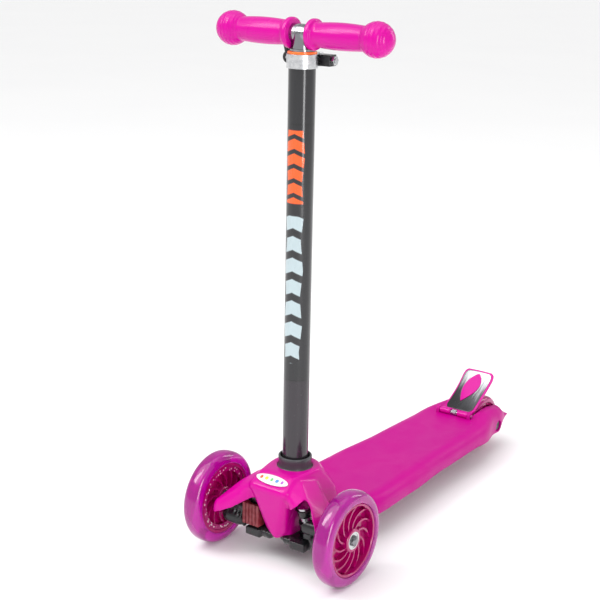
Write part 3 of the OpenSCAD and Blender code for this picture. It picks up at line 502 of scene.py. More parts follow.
def badgeMaterial():
    # a row of plain coloured dots on a pale oval
    ground = badgeLook["ground"]
    material, tree, shader, coords = startMaterial("badgePrint", ground, coat=1.0, coatRoughness=0.03)
    centre = middleOf("nose_badge")
    base = patchyColour(tree, coords, ground, shaded(ground, 0.94), 80.0)
    for i, (y, colour) in enumerate(badgeLook["dots"]):
        large = badgeLook["large"]
        values = {"Vector": coords, "Location": (centre.x, y, centre.z),
                  "Scale": (large, large if i % 2 else badgeLook["small"], large)}
        place = addNode(tree, "Mapping", values, vector_type="TEXTURE")
        ball = addNode(tree, "VectorMath", {0: place.outputs["Vector"]}, operation="LENGTH")
        base = mixColour(tree, rangeOf(tree, ball.outputs["Value"], 0.95, 1.05, 1.0, 0.0), base, colour)
    tree.links.new(base, shader.inputs["Base Color"])
    addFinish(tree, shader, coords, finishOf(600.0, 0.08, 0.14, 0.15, 0.03))
    return material


badgePrint = badgeMaterial()

# ---- deck

print("deck")
deckShape = {
    # half width of the deck at each distance along X, in millimetres
    "stations": [(183.7, 43), (141.7, 64), (98.7, 69), (33.7, 67), (-75.2, 61), (-184, 59), (-254, 46),
                 (-296, 38)],
    # heights of the top and bottom lines at distances ahead of the rear axle
    "top": [(80, 63), (12, 68), (-20, 64)], "bottom": [(95, 36), (22, 30.5), (-8, 28.5)], "tail": 42,
    "roundOver": 17.0, "roundDrop": 15.0, "dish": 1.6, "flatShare": 0.58, "roundShare": 0.30, "tuck": 2.2,
    "wall": 0.0030, "rows": 150, "columns": 48, "wellHalf": 26.0, "axleHole": 0.0085,
}
wellFront = rearAxle[1].x + 0.052
tailX = rearAxle[1].x * 1000


def easeIn(t):
    t = min(1, max(0, t))
    return (1 - math.cos(math.pi * t)) / 2


def alongCurve(x, points):
    # smooth value along X through (x, value) points that run from front to back
    if x >= points[0][0]:
        return points[0][1]
    for (x0, z0), (x1, z1) in zip(points, points[1:]):
        if x >= x1:
            return z0 + (z1 - z0) * easeIn((x0 - x) / (x0 - x1))
    return points[-1][1]


def halfAt(x):
    line = deckShape["stations"]
    for (x0, h0), (x1, h1) in zip(line, line[1:]):
        if x >= x1:
            return h0 + (h1 - h0) * easeIn((x0 - x) / (x0 - x1))
    return line[-1][1]


def deckTop(x):
    ahead, (lastX, lastZ) = x - tailX, deckShape["top"][-1]
    if ahead < lastX:
        return lastZ - (lastX - ahead) / 22 * 17
    return alongCurve(ahead, deckShape["top"])


def deckBottom(x):
    ahead, (lastX, lastZ) = x - tailX, deckShape["bottom"][-1]
    if ahead < lastX:
        return lastZ + ((lastX - ahead) / 34) ** 1.3 * 15
    return alongCurve(ahead, deckShape["bottom"])


def deckPoint(along, across):
    # along runs from the front (0) to the tail (1), across from the right rim (-1) to the left (1)
    shape = deckShape
    front = shape["stations"][0][0]
    x = front + (tailX - shape["tail"] - front) * along
    side, sign = abs(across), 1 if across >= 0 else -1
    half, top, bottom = halfAt(x), deckTop(x), deckBottom(x)
    overRound = min(shape["roundOver"], half * 0.42)
    drop = min(shape["roundDrop"], (top - bottom) * 0.55)
    flat, flatShare, roundEnd = half - overRound, shape["flatShare"], shape["flatShare"] + shape["roundShare"]
    if side <= flatShare:
        y = flat * side / flatShare
        fade = easeIn((x + 220) / 60) * easeIn((190 - x) / 60)
        z = top - shape["dish"] * (1 - (side / flatShare) ** 2) * fade
    elif side <= roundEnd:
        a = (side - flatShare) / shape["roundShare"] * math.pi / 2
        y = flat + overRound * math.sin(a)
        z = top - drop * (1 - math.cos(a))
    else:
        t = (side - roundEnd) / (1 - roundEnd)
        y = half - shape["tuck"] * t * t
        z = top - drop + (bottom - top + drop) * t
    if x < wellFront * 1000 + 1 and abs(y - shape["wellHalf"]) < 2.0 and side <= 0.6:
        y = shape["wellHalf"]
    return Vector((x * mm, sign * y * mm, z * mm))


def buildDeck():
    bm = bmesh.new()
    bmesh.ops.create_grid(bm, x_segments=deckShape["rows"], y_segments=deckShape["columns"], size=1)
    for v in bm.verts:
        v.co = deckPoint((1 - v.co.x) / 2, v.co.y)
    # the well for the rear wheels is opened and its rim drawn down as a wall
    inWell = [f for f in bm.faces if f.calc_center_median().x < wellFront
              and abs(f.calc_center_median().y) < deckShape["wellHalf"] * mm]
    bmesh.ops.delete(bm, geom=inWell, context="FACES")
    rim = [e for e in bm.edges if e.is_boundary
           and max(abs(v.co.y) for v in e.verts) < (deckShape["wellHalf"] + 2.5) * mm
           and max(v.co.x for v in e.verts) < wellFront + 0.004 and min(v.co.z for v in e.verts) > 0.05]
    for v in bmesh.ops.extrude_edge_only(bm, edges=rim)["geom"]:
        if isinstance(v, bmesh.types.BMVert):
            v.co.z = (deckBottom(v.co.x * 1000) + 2) * mm
    bmesh.ops.recalc_face_normals(bm, faces=bm.faces)
    if max(bm.faces, key=lambda f: f.calc_center_median().z).normal.z < 0:
        bmesh.ops.reverse_faces(bm, faces=bm.faces)
    deck = makePiece(bm, "mouldedDeck", "chassis", pinkDeck, ("deck",), 60)
    shell = deck.modifiers.new("wall", "SOLIDIFY")
    shell.thickness = deckShape["wall"]
    shell.offset = -1
    cutter = bmesh.new()
    hole = deckShape["axleHole"]
    for side in (1, -1):
        tool = bmesh.new()
        bmesh.ops.create_cone(tool, cap_ends=True, segments=48, radius1=hole, radius2=hole, depth=0.03)
        addTo(cutter, lay(tool, (rearAxle[1].x, side * 0.054, rearAxle[1].z), (0, 1, 0)))
    cutAway(deck, cutter)
    deck.data.shade_smooth()
    deck.data.set_sharp_from_angle(angle=math.radians(50))


buildDeck()


def boxInto(bm, low, high, bevel=0.0004):
    part = bmesh.new()
    low, high = Vector(low), Vector(high)
    place = Matrix.Translation((low + high) / 2) @ Matrix.Diagonal((*(high - low), 1))
    bmesh.ops.create_cube(part, size=1, matrix=place)
    bevelEdges(part, part.edges[:], bevel, 2)
    addTo(bm, part)


insideShape = {"ribHalf": 1.1, "crossRibs": 7, "ribFrom": 150, "ribPitch": 46,
               "earAt": 0.0258, "earHalf": 0.0025}


def buildDeckInside():
    # ribs under the standing surface, axle bosses, cup linings, the brake's ears and screw bosses
    bm = bmesh.new()
    shape, axle, pivot = insideShape, rearAxle[1], middleOf("brake_pin")
    rib = shape["ribHalf"]
    for y in (-28, 0, 28):
        boxInto(bm, (wellFront + 0.004, (y - rib) * mm, 0.040), (0.174, (y + rib) * mm, 0.0605))
    for i in range(shape["crossRibs"]):
        x = shape["ribFrom"] - i * shape["ribPitch"]
        half = halfAt(x) - 4.5
        boxInto(bm, ((x - rib) * mm, -half * mm, 0.040), ((x + rib) * mm, half * mm, 0.0585))
    for side in (1, -1):
        boss = spinProfile([(0.0042, 0), (0.0090, 0), (0.0090, 0.0128), (0.0042, 0.0128)], 48)
        addTo(bm, lay(boss, (axle.x, side * 0.0326 - 0.0064, axle.z), (0, 1, 0)))
        cup = spinProfile([(0.0084, 0), (0.0084, 0.0062), (0.0102, 0.0062), (0.0102, -0.0016),
                           (0.0042, -0.0016), (0.0042, 0)], 48)
        addTo(bm, lay(cup, (axle.x, side * 0.0390, axle.z), (0, side, 0)))
        ear = spinProfile([(0, 0.0007), (0.0007, 0), (0.0046, 0), (0.0052, 0.0006), (0.0052, 0.0044),
                           (0.0046, 0.005), (0, 0.005)], 40, False)
        nearY, farY = side * shape["earAt"] - shape["earHalf"], side * shape["earAt"] + shape["earHalf"]
        addTo(bm, lay(ear, (pivot.x, nearY, pivot.z), (0, 1, 0)))
        boxInto(bm, (pivot.x - 0.0052, nearY, 0.0605), (pivot.x + 0.0052, farY, pivot.z), 0.0005)
    for y in (-0.028, 0.028):
        boss = spinProfile([(0, 0), (0.005, 0), (0.005, 0.024), (0, 0.024)], 32, False)
        addTo(bm, lay(boss, (middleOf("deck_screws").x, y, 0.0365)))
    cleanMesh(bm)
    makePiece(bm, "deckInside", "chassis", pinkDeck, (), 40)


buildDeckInside()

# ---- nose cover, truck and arms

print("nose and truck")


def bothSides(balls):
    return [(x, s * y, z, radius) for x, y, z, radius in balls for s in (1, -1)]


# the brow runs down into the snout, and a shoulder runs out over each wheel arm
noseShape = {
    "snout": [(256.5, 20, 101, 8), (250, 12, 72, 7), (242, 10, 47, 6), (236, 11.5, 62, 6)],
    "chin": (243, 0, 39, 6),
    "shoulder": [(238, 28, 106, 10), (252, 26, 102, 9), (250, 46, 93, 9), (262, 67, 73.5, 7.5),
                 (240, 64, 77, 7), (224, 52, 86, 7), (212, 26, 104, 10)],
    # the arch over the left wheel's arm is open to the front and shows the kingpin
    "arch": [(276, 32, 50, 3), (276, 34, 78, 3), (276, 76, 70, 3), (276, 72, 50, 3), (238, 36, 50, 9),
             (238, 37, 84, 8), (232, 52, 60, 8), (232, 50, 82, 6), (262, 53, 99, 2.5), (258, 40, 90, 3),
             (240, 42, 97, 3)],
    "voxel": 0.0012, "rounds": 14,
}
# both sets of ribs stand side by side along Y
truckShape = {"ribs": 6, "from": 14, "pitch": 5.4, "voxel": 0.0010, "rounds": 6}
armShape = {
    "ribs": 5, "from": 54, "pitch": 5.6, "voxel": 0.0008, "rounds": 3,
    "mass": [(231, 56, 47, 9), (240, 60, 43, 10), (243, 74, 45, 10), (230, 74, 46, 11), (236, 76, 55, 9)],
    # x, height, rise of the height from rib to rib, and radius
    "rib": [(229, 44, 0.6, 2), (243, 41.5, 0.6, 2), (248, 48, 0.8, 1.6), (240, 33.5, 0.8, 1.6),
            (229, 35.5, 0.8, 1.6), (224, 45, 0.6, 1.6), (244, 58, 0.4, 1.6), (232, 60, 0, 1.6)],
}


def buildNose():
    masses = [bothSides(noseShape["snout"]) + [noseShape["chin"]]]
    for s in (1, -1):
        masses.append([(x, s * y, z, radius) for x, y, z, radius in noseShape["shoulder"]])
    mouldedFrom("nose_cover", "noseMould", "chassis", pinkNose, noseShape["voxel"],
                noseShape["rounds"], masses, [noseShape["arch"]])


def buildTruck():
    # a ribbed bumper closes the truck's foot under the snout
    masses = []
    for s in (1, -1):
        masses.append([(238, s * 8, 36, 5.5), (241, s * 38, 34, 6), (226, s * 39, 33.5, 6),
                       (216, s * 14, 35, 6)])
        for i in range(truckShape["ribs"]):
            at = s * (truckShape["from"] + i * truckShape["pitch"])
            masses.append([(243, at, 35, 4.2), (239, at, 33, 6), (226, at, 32.6, 6), (222, at, 35, 4)])
    mouldedFrom("truck_base", "truckCasting", "chassis", blackPlastic,
                truckShape["voxel"], truckShape["rounds"], masses)


def buildArm(side):
    # the arm's ribbed outer end fills the space between the snout and the wheel
    word = sideName[side]
    masses = [[(x, side * y, z, radius) for x, y, z, radius in armShape["mass"]]]
    for i in range(armShape["ribs"]):
        at = side * (armShape["from"] + i * armShape["pitch"])
        masses.append([(x, at, z + i * rise, radius) for x, z, rise, radius in armShape["rib"]])
    mouldedFrom("swing_arm_" + word, "swingArm." + word, "arm_" + word, blackPlastic,
                armShape["voxel"], armShape["rounds"], masses)


buildNose()
buildTruck()
buildArm(1)
buildArm(-1)

springShape = {
    "kingpin": {"wire": 0.0010, "turns": 3.6, "radius": 0.0063, "span": 0.0074, "rake": 20},
    "brake": {"wire": 0.0008, "turns": 4.5, "radius": 0.0033, "pitch": 0.0018},
}


def coilSpring(radius, wire, pitch, turns, around=12):
    bm = bmesh.new()
    upright = Matrix.Translation((radius, 0, 0)) @ Matrix.Rotation(math.pi / 2, 4, "X")
    bmesh.ops.create_circle(bm, segments=around, radius=wire, cap_ends=False, matrix=upright)
    steps = int(turns * 40)
    bmesh.ops.spin(bm, geom=bm.verts[:] + bm.edges[:], cent=(0, 0, 0), axis=(0, 0, 1),
                   dvec=(0, 0, pitch * turns / steps), angle=2 * math.pi * turns, steps=steps, use_merge=False)
    bmesh.ops.holes_fill(bm, edges=[e for e in bm.edges if e.is_boundary], sides=around)
    cleanMesh(bm)
    return bm


def buildSprings():
    shape = springShape["kingpin"]
    bm = bmesh.new()
    rake = Vector((math.sin(math.radians(shape["rake"])), 0, math.cos(math.radians(shape["rake"]))))
    low, high = boxOf("centring_springs")
    mid = (low + high) / 2
    for side in (1, -1):
        coil = coilSpring(shape["radius"], shape["wire"], shape["span"] / shape["turns"], shape["turns"])
        foot = Vector((mid.x, side * (high.y - 0.0073), mid.z)) - rake * shape["span"] / 2
        addTo(bm, lay(coil, foot, rake))
    cleanMesh(bm)
    makePiece(bm, "kingpinSprings", "chassis", zincSteel, ("centring_springs",))
    shape, pin = springShape["brake"], middleOf("brake_pin")
    coil = coilSpring(shape["radius"], shape["wire"], shape["pitch"], shape["turns"])
    lay(coil, (pin.x, -0.0041, pin.z), (0, 1, 0))
    makePiece(coil, "brakeCoil", "chassis", zincSteel, ("brake_spring",))


buildSprings()

badgeShape = {"halfHeight": 0.0068, "halfWidth": 0.0236, "thick": 0.0015, "lean": 32.3}


def buildBadge():
    # domed oval plate, made flat and then laid on the brow
    bm = bmesh.new()
    bmesh.ops.create_circle(bm, cap_ends=True, segments=72, radius=1)
    bmesh.ops.scale(bm, vec=(badgeShape["halfHeight"], badgeShape["halfWidth"], 1), verts=bm.verts)
    raised = bmesh.ops.extrude_face_region(bm, geom=bm.faces[:])["geom"]
    bmesh.ops.translate(bm, vec=(0, 0, badgeShape["thick"]),
                        verts=[v for v in raised if isinstance(v, bmesh.types.BMVert)])
    cleanMesh(bm)
    bevelEdges(bm, [e for e in bm.edges if all(v.co.z > 0.001 for v in e.verts)], 0.0006, 4)
    lean = Matrix.Rotation(math.radians(badgeShape["lean"]), 4, "Y")
    bmesh.ops.transform(bm, matrix=Matrix.Translation(middleOf("nose_badge")) @ lean, verts=bm.verts)
    makePiece(bm, "noseBadge", "chassis", badgePrint, ("nose_badge",))


buildBadge()

# ---- wheels

print("wheels")
frontShape = {
    "radius": 0.060, "width": 0.025, "inner": 0.0462, "square": 0.78, "crown": 0.011,
    "rim": 0.0458, "rimWall": 0.0034, "boss": 0.0146, "hubHalf": 0.011,
    "vanes": 12, "vaneHeight": 0.0155, "sweep": -46, "vaneWall": 0.0011,
}
rearShape = {
    "radius": 0.040, "width": 0.021, "inner": 0.0302, "square": 0.72, "crown": 0.008,
    "boss": 0.0140, "hubHalf": 0.0100, "vanes": 6, "vaneHeight": 0.0130, "sweep": 18, "vaneWall": 0.0012,
}


def tyreProfile(shape):
    half, inner, crown, square = shape["width"] / 2, shape["inner"], shape["crown"], shape["square"]
    line = [(inner, 0.0012 - half), (inner + 0.0006, 0.0003 - half), (inner + 0.0014, -half)]
    shoulder = shape["radius"] - crown
    for i in range(25):
        a = math.radians(-90 + 180 * i / 24)
        line.append((shoulder + crown * math.copysign(abs(math.cos(a)) ** square, math.cos(a)),
                     half * math.copysign(abs(math.sin(a)) ** square, math.sin(a))))
    return line + [(inner + 0.0014, half), (inner + 0.0006, half - 0.0003), (inner, half - 0.0012)]


def bossProfile(half, boss, chamfer, swell):
    # the middle of a hub: a bearing seat at each end and a narrower neck between them
    seat, neck, depth = 0.0111, 0.0096, 0.007
    return [(seat, -half), (seat, depth - half), (neck, depth - half), (neck, half - depth),
            (seat, half - depth), (seat, half), (boss - chamfer, half), (boss, half - chamfer),
            (boss + swell, 0), (boss, chamfer - half), (boss - chamfer, -half)]


def addVanes(bm, shape, inner, outer):
    # curved blades: strips that lean more the further out they go
    for i in range(shape["vanes"]):
        part = bmesh.new()
        bmesh.ops.create_grid(part, x_segments=14, y_segments=2, size=0.5)
        for v in part.verts:
            t = v.co.x + 0.5
            r = inner + (outer - inner) * t
            a = math.radians(360 / shape["vanes"] * i + shape["sweep"] * t ** 1.3)
            v.co = (r * math.cos(a), r * math.sin(a), v.co.y * shape["vaneHeight"] * (1 - 0.12 * t))
        bmesh.ops.recalc_face_normals(part, faces=part.faces)
        bmesh.ops.solidify(part, geom=part.faces[:], thickness=shape["vaneWall"] * 2)
        cleanMesh(part)
        addTo(bm, part)


def wheelPiece(bm, end, part, side, material, sharp):
    word = sideName[side]
    lay(bm, (frontAxle if end == "front" else rearAxle)[side], (0, side, 0))
    makePiece(bm, end + part + "." + word, end + "_wheel_" + word, material,
              (end + "_" + part.lower() + "_" + word,), sharp)


def buildFrontWheel(side):
    shape = frontShape
    wheelPiece(spinProfile(tyreProfile(shape), 128), "front", "Tyre", side, tyreClear, 60)
    h, rim, boss = shape["hubHalf"], shape["rim"], shape["boss"]
    inner = rim - shape["rimWall"]
    hub = spinProfile([(rim, -h), (rim, h - 0.0006), (rim - 0.0006, h), (inner + 0.0006, h),
                       (inner, h - 0.0006), (inner - 0.0004, 0.0006 - h), (inner, -h)], 96)
    addTo(hub, spinProfile(bossProfile(h, boss, 0.0008, 0.0006), 64))
    addTo(hub, spinProfile([(boss - 0.0004, 0.0010), (inner + 0.0004, 0.0016),
                            (inner + 0.0004, -0.0016), (boss - 0.0004, -0.0010)], 72))
    addVanes(hub, shape, boss - 0.0006, inner + 0.0005)
    wheelPiece(hub, "front", "Hub", side, hubClear, 40)


def buildRearWheel(side):
    shape = rearShape
    wheelPiece(spinProfile(tyreProfile(shape), 96), "rear", "Tyre", side, rearClear, 60)
    h, boss = shape["hubHalf"], shape["boss"]
    hub = spinProfile([(0.0299, -h), (0.0299, h - 0.0006), (0.0293, h), (0.0272, h), (0.0265, h - 0.0008),
                       (0.0262, 0), (0.0265, 0.0008 - h), (0.0272, -h)], 80)
    addTo(hub, spinProfile(bossProfile(h, boss, 0.0006, 0.0003), 60))
    addTo(hub, spinProfile([(boss - 0.0002, 0.0008), (0.0264, 0.0008), (0.0264, -0.0008),
                            (boss - 0.0002, -0.0008)], 60))
    addVanes(hub, shape, boss - 0.0002, 0.0266)
    wheelPiece(hub, "rear", "Hub", side, hubClear, 40)


for side in (1, -1):
    buildFrontWheel(side)
for side in (1, -1):
    buildRearWheel(side)

# ---- foot brake

print("brake")
brakeShape = {
    "sweep": 0.237, "lean": 59.5, "gap": 0.003, "plate": 0.0034, "skin": 0.0008, "hinge": 0.0226,
    "half": 0.0255, "tip": 226.6, "waist": 0.05, "corner": 0.16, "camber": 0.0022,
    "barrelAt": (-0.0229, 0.0059), "barrelWide": 0.017,
}
sweepReach = rearShape["radius"] + sum(brakeShape[key] for key in ("gap", "plate", "skin", "sweep"))
sweepLean = math.radians(brakeShape["lean"])
sweepCentre = rearAxle[1] + sweepReach * Vector((math.cos(sweepLean), 0, math.sin(sweepLean)))
sweepRoot = 180 + math.degrees(math.acos((sweepCentre.x - wellFront + 0.0012) / (brakeShape["sweep"] + 0.0042)))


def onSweep(u, y, lift):
    # u runs from the hinge (0) to the tip (1), lift is height above the upper face
    a = math.radians(sweepRoot + (brakeShape["tip"] - sweepRoot) * u)
    r = brakeShape["sweep"] - lift
    return Vector((sweepCentre.x + r * math.cos(a), y, sweepCentre.z + r * math.sin(a)))


def brakeHalf(u):
    # narrow enough for the well at the hinge, then wide above the deck and full at the tip
    wide = brakeShape["hinge"] + (brakeShape["half"] - brakeShape["hinge"]) * easeIn(u / 0.16)
    return wide * (1 - brakeShape["waist"] * math.sin(math.pi * min(1, u * 1.05)))


def sweepSheet(fromU, toU, edge, lift, thickness, rows=34, columns=18, centreLine=None, curl=0.0):
    # a curved sheet on the sweep, with its half width from edge(u, t)
    bm = bmesh.new()
    bmesh.ops.create_grid(bm, x_segments=rows, y_segments=columns, size=1)
    for v in bm.verts:
        t, side = (v.co.x + 1) / 2, v.co.y
        u = fromU + (toU - fromU) * t
        y = edge(u, t) * side + (centreLine(t) if centreLine else 0)
        camber = brakeShape["camber"] * (1 - min(1, abs(y) / brakeShape["half"]) ** 2)
        v.co = onSweep(u, y, lift + camber + curl * max(0, abs(side) - 0.75) ** 2 * 16)
    bmesh.ops.recalc_face_normals(bm, faces=bm.faces)
    if max(bm.faces, key=lambda f: f.calc_center_median().z).normal.z < 0:
        bmesh.ops.reverse_faces(bm, faces=bm.faces)
    bmesh.ops.solidify(bm, geom=bm.faces[:], thickness=thickness)
    cleanMesh(bm)
    bevelEdges(bm, cornersOf(bm), min(0.0006, thickness * 0.3), 2)
    return bm


def roundedEdge(inset):
    def edge(u, t):
        near = min(t, 1 - t) / brakeShape["corner"]
        shrink = 0 if near >= 1 else 1 - math.sqrt(1 - (1 - near) ** 2)
        return brakeHalf(u) - inset - shrink * 0.006
    return edge


def leafEdge(u, t):
    return 0.0003 + 0.0118 * math.sin(math.pi * t ** 1.25) ** 0.75


def buildBrake():
    plate = sweepSheet(0.0, 1.0, roundedEdge(0), -brakeShape["skin"], brakeShape["plate"], curl=0.0004)
    pin, wide = middleOf("brake_pin"), brakeShape["barrelWide"]
    for y in brakeShape["barrelAt"]:
        barrel = spinProfile([(0.0022, 0), (0.0040, 0), (0.0045, 0.0005), (0.0045, wide - 0.0005),
                              (0.0040, wide), (0.0022, wide)], 40)
        addTo(plate, lay(barrel, (pin.x, y, pin.z), (0, 1, 0)))
        boxInto(plate, (pin.x - 0.0095, y, pin.z - 0.0038), (pin.x - 0.001, y + wide, pin.z + 0.0022), 0.0008)
    makePiece(plate, "brakeTongue", "foot_brake", pinkNose, ("brake_plate",), 40)
    skin = sweepSheet(0.06, 0.965, roundedEdge(0.0026), 0.0, brakeShape["skin"])
    makePiece(skin, "brakeSkin", "foot_brake", brakePlatingWithPaintedShade, ("brake_skin",), 40)
    leaf = sweepSheet(0.27, 0.92, leafEdge, 0.0011, 0.0011, 40, 14, lambda t: -0.0015 + 0.006 * (t - 0.4))
    makePiece(leaf, "brakeLeaf", "foot_brake", pinkNose, (), 40)


buildBrake()

# ---- column, clamp and handlebar

print("column")
socketShape = {"outer": 0.021, "mouth": 0.0183, "bore": 0.0162, "rimHeight": 0.134, "mouthDepth": 0.016,
               "waist": 0.1215, "foot": 0.0845}


def buildSocket():
    s = socketShape
    outer, mouth, bore, top = s["outer"], s["mouth"], s["bore"], s["rimHeight"]
    waist, foot, step = s["waist"], s["foot"], top - s["mouthDepth"]
    profile = [(bore, foot + 0.0035), (bore, step - 0.0006), (bore + 0.0006, step), (mouth, step),
               (mouth, top - 0.0012)]
    profile += arcPoints((mouth + 0.0012, top - 0.0012), 0.0012, 180, 90, 5)
    profile += arcPoints((outer - 0.0014, top - 0.0014), 0.0014, 90, 0, 5)
    profile += [(outer - 0.0002, top - 0.006), (outer - 0.0006, top - 0.0066), (outer - 0.0006, waist)]
    profile += arcPoints((outer + 0.0018, waist), 0.0024, 180, 262, 5)
    profile += [(outer + 0.0012, 0.117), (outer, 0.116), (outer, foot), (0.017, foot), (bore, foot + 0.0007)]
    makePiece(lay(spinProfile(profile, 96), (columnX, 0, 0)), "columnSocket", "chassis", socketPlastic,
              ("column_socket",), 35)


ringShape = {"edge": 0.0172, "bore": 0.01408, "skirt": 0.0143, "depth": 0.0168}


def buildSealRing():
    top = boxOf("seal_ring")[1].z
    edge, skirt, foot = ringShape["edge"], ringShape["skirt"], top - ringShape["depth"]
    profile = [(ringShape["bore"], foot), (skirt, foot), (skirt, top - 0.0030)]
    profile += arcPoints((edge - 0.0007, top - 0.0023), 0.0007, -90, 0, 4)
    profile += arcPoints((edge - 0.0010, top - 0.0010), 0.0010, 0, 90, 4)
    profile += [(0.0150, top), (ringShape["bore"], top - 0.0008)]
    makePiece(lay(spinProfile(profile, 80), (columnX, 0, 0)), "sealRing", "chassis", orangePlastic,
              ("seal_ring",), 35)


buildSocket()
buildSealRing()

gripShape = {"bore": 0.0111, "ball": 0.0205, "ballAt": 0.101, "flange": 0.018, "flangeFrom": 0.0122,
             "flangeRound": 0.0022, "barrel": 0.0142, "bulge": 0.0014, "ribs": 9, "ribDepth": 0.00035}


def buildGrip(side):
    g = gripShape
    start, bore, turnIn, ball, ballAt = g["flangeFrom"], g["bore"], g["flangeRound"], g["ball"], g["ballAt"]
    corner = g["flange"] - turnIn
    profile = [(bore, start), (corner, start)]
    profile += arcPoints((corner, start + turnIn), turnIn, -90, 0, 5)
    profile += arcPoints((corner, start + turnIn + 0.003), turnIn, 0, 80, 5)
    profile += [(0.0149, start + 0.0085), (0.0144, start + 0.0105)]
    barrelFrom, barrelTo, count = start + 0.0115, ballAt - 0.0150, 44
    for i in range(count + 1):
        t = i / count
        swell = g["bulge"] * math.sin(math.pi * t)
        profile.append((g["barrel"] + swell, barrelFrom + (barrelTo - barrelFrom) * t))
    steps = 72
    for i in range(steps + 1):
        a = math.radians(-44 + 130 * i / steps)
        wave = 0.5 - 0.5 * math.cos(2 * math.pi * i / steps * g["ribs"])
        r = ball - (g["ribDepth"] * wave if 4 < i < steps - 8 else 0)
        profile.append((r * math.cos(a), ballAt + r * math.sin(a)))
    profile += [(0.0, ballAt + ball), (0.0, ballAt + 0.0005), (bore, ballAt + 0.0005)]
    bm = lay(spinProfile(profile, 72), (columnX, 0, barZ), (0, side, 0))
    word = sideName[side]
    makePiece(bm, "grip." + word, "handlebar", pinkGrip, ("grip_" + word,), 50)


buildGrip(1)
buildGrip(-1)

leverShape = {"width": 0.0115, "thick": 0.0058, "arc": 0.0365, "sweep": 40, "flare": 0.18,
              "cam": 0.007, "camBore": 0.0021, "camFrom": 0.0034, "camTo": 0.0070}


def buildLever():
    # a straight bar cut across and then bent round its arc, with a cam disc on each side of the pivot
    s = leverShape
    arc, sweep, cam, bore = s["arc"], math.radians(s["sweep"]), s["cam"], s["camBore"]
    bm = bmesh.new()
    length = arc * sweep
    bmesh.ops.create_cube(bm, size=1, matrix=Matrix.Diagonal((s["width"], s["thick"], length, 1)))
    bmesh.ops.translate(bm, vec=(0, 0, length / 2), verts=bm.verts)
    upright = [e for e in bm.edges if abs((e.verts[0].co - e.verts[1].co).z) > length * 0.9]
    bmesh.ops.subdivide_edges(bm, edges=upright, cuts=10, use_grid_fill=True)
    bevelEdges(bm, cornersOf(bm), 0.0012, 3)
    for v in bm.verts:
        t = v.co.z / length
        r = arc + v.co.y * (1 - 0.3 * t)
        flare = 1 + s["flare"] * math.sin(math.pi * min(1, max(0, t)) * 0.8)
        v.co = (v.co.x * flare, r * math.cos(sweep * t) - arc - 0.0015, r * math.sin(sweep * t))
    near, far = s["camFrom"], s["camTo"]
    for side in (1, -1):
        disc = spinProfile([(bore, near), (cam - 0.0007, near), (cam, near + 0.0007), (cam, far - 0.0007),
                            (cam - 0.0007, far), (bore, far)], 48)
        addTo(bm, lay(disc, (0, 0, 0), (side, 0, 0)))
    bmesh.ops.translate(bm, vec=middleOf("clamp_pivot"), verts=bm.verts)
    cleanMesh(bm)
    makePiece(bm, "leverBlade", "lever", blackPlastic, ("clamp_lever",), 40)


buildLever()

# ---- finishes on the CAD nodes that stay; zinc steel is the rest

print("finishes")
keptFinish = {
    "steering_tube": tubeCoat, "t_bar": darkChrome, "clamp_band": aluminium, "clamp_blocks": blackPlastic,
    "steering_buffer": bufferRubber, "tie_rod": socketPlastic,
    "rear_axle": darkSteel, "rear_axle_nut": darkSteel,
}
for word in sideName.values():
    keptFinish.update({
        "axle_bolt_" + word: darkChrome, "front_magnet_" + word: magnetBlack,
        "front_bearings_" + word: bearingSteel, "rear_bearings_" + word: bearingSteel,
        "front_lights_" + word: lightBoard, "rear_lights_" + word: lightBoard,
    })
for name, node in nodes.items():
    for materialSlot in node.material_slots:
        materialSlot.material = keptFinish.get(name, zincSteel)

# ---- floor, lights and camera

print("studio")
studioShape = {
    "floor": 40, "worldLow": 0.62, "worldSeen": 1.0, "sun": 1.35, "sunSpread": 60, "sunTurn": (12, 22, 0),
    # name, place, target, size and power of each panel
    "panels": [("keyPanel", (1.5, -1.3, 2.2), (0.05, 0, 0.25), (0.7, 1.6), 24),
               ("fillPanel", (1.5, 2.0, 0.9), (0.05, 0, 0.3), (0.6, 1.8), 28),
               ("topPanel", (-0.4, 0.2, 2.7), (0.0, 0, 0.1), (1.8, 1.8), 8),
               ("backPanel", (-1.9, 1.0, 1.3), (0.0, 0, 0.3), (0.5, 1.6), 9)],
}
viewShape = {"azimuth": 35.67, "elevation": 16.31, "roll": 1.07, "distance": 1.7741,
             "target": (0.0998, -0.0739, 0.2957), "lens": 81.64}


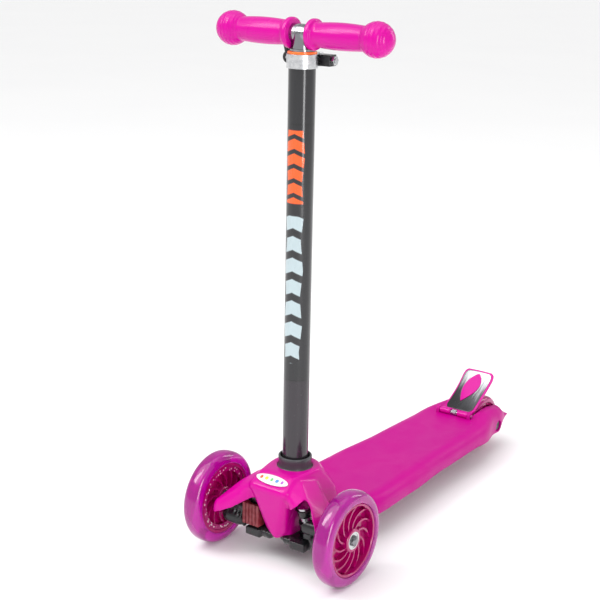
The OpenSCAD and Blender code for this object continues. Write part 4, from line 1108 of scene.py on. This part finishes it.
def buildFloor():
    bm = bmesh.new()
    bmesh.ops.create_grid(bm, x_segments=2, y_segments=2, size=studioShape["floor"])
    mesh = bpy.data.meshes.new("studioFloor")
    bm.to_mesh(mesh)
    bm.free()
    floor = linkObject("studioFloor", mesh)
    material, tree, shader, coords = startMaterial("floorPaper", (0.93, 0.93, 0.935))
    base = patchyColour(tree, coords, (0.92, 0.92, 0.925), (0.95, 0.95, 0.95), 2.0)
    tree.links.new(base, shader.inputs["Base Color"])
    shader.inputs["Roughness"].default_value = 0.6
    shader.inputs["Specular IOR Level"].default_value = 0.2
    mesh.materials.append(material)


def buildStudio():
    world = bpy.data.worlds.new("studioSky")
    bpy.context.scene.world = world
    world.use_nodes = True
    tree = world.node_tree
    sky = tree.nodes["Background"]
    sky.inputs["Color"].default_value = (1, 1, 1, 1)
    # the backdrop is white to the eye and dimmer to what it lights, so dark finishes stay dark
    seen = tree.nodes.new("ShaderNodeLightPath").outputs["Is Camera Ray"]
    strength = rangeOf(tree, seen, 0.0, 1.0, studioShape["worldLow"], studioShape["worldSeen"])
    tree.links.new(strength, sky.inputs["Strength"])
    for name, place, target, size, power in studioShape["panels"]:
        light = bpy.data.lights.new(name, "AREA")
        light.shape = "RECTANGLE"
        light.size, light.size_y = size
        light.energy = power
        lamp = linkObject(name, light)
        lamp.location = place
        lamp.rotation_euler = (Vector(target) - Vector(place)).to_track_quat("-Z", "Y").to_euler()
    # one wide soft sun lights the floor evenly out to the backdrop
    sun = bpy.data.lights.new("softSun", "SUN")
    sun.energy = studioShape["sun"]
    sun.angle = math.radians(studioShape["sunSpread"])
    linkObject("softSun", sun).rotation_euler = [math.radians(a) for a in studioShape["sunTurn"]]


def buildCamera():
    v = viewShape
    az, el, roll = (math.radians(v[k]) for k in ("azimuth", "elevation", "roll"))
    forward = -Vector((math.cos(el) * math.cos(az), math.cos(el) * math.sin(az), math.sin(el)))
    right = forward.cross(Vector((0, 0, 1))).normalized()
    up = right.cross(forward)
    rightRolled = math.cos(roll) * right + math.sin(roll) * up
    upRolled = -math.sin(roll) * right + math.cos(roll) * up
    lens = bpy.data.cameras.new("viewCamera")
    lens.lens = v["lens"]
    lens.sensor_width = 36
    camera = linkObject("viewCamera", lens)
    turn = Matrix((rightRolled, upRolled, -forward)).transposed().to_4x4()
    camera.matrix_world = Matrix.Translation(Vector(v["target"]) - forward * v["distance"]) @ turn
    bpy.context.scene.camera = camera


buildFloor()
buildStudio()
buildCamera()
bpy.context.scene.view_settings.view_transform = "Standard"

print("done")
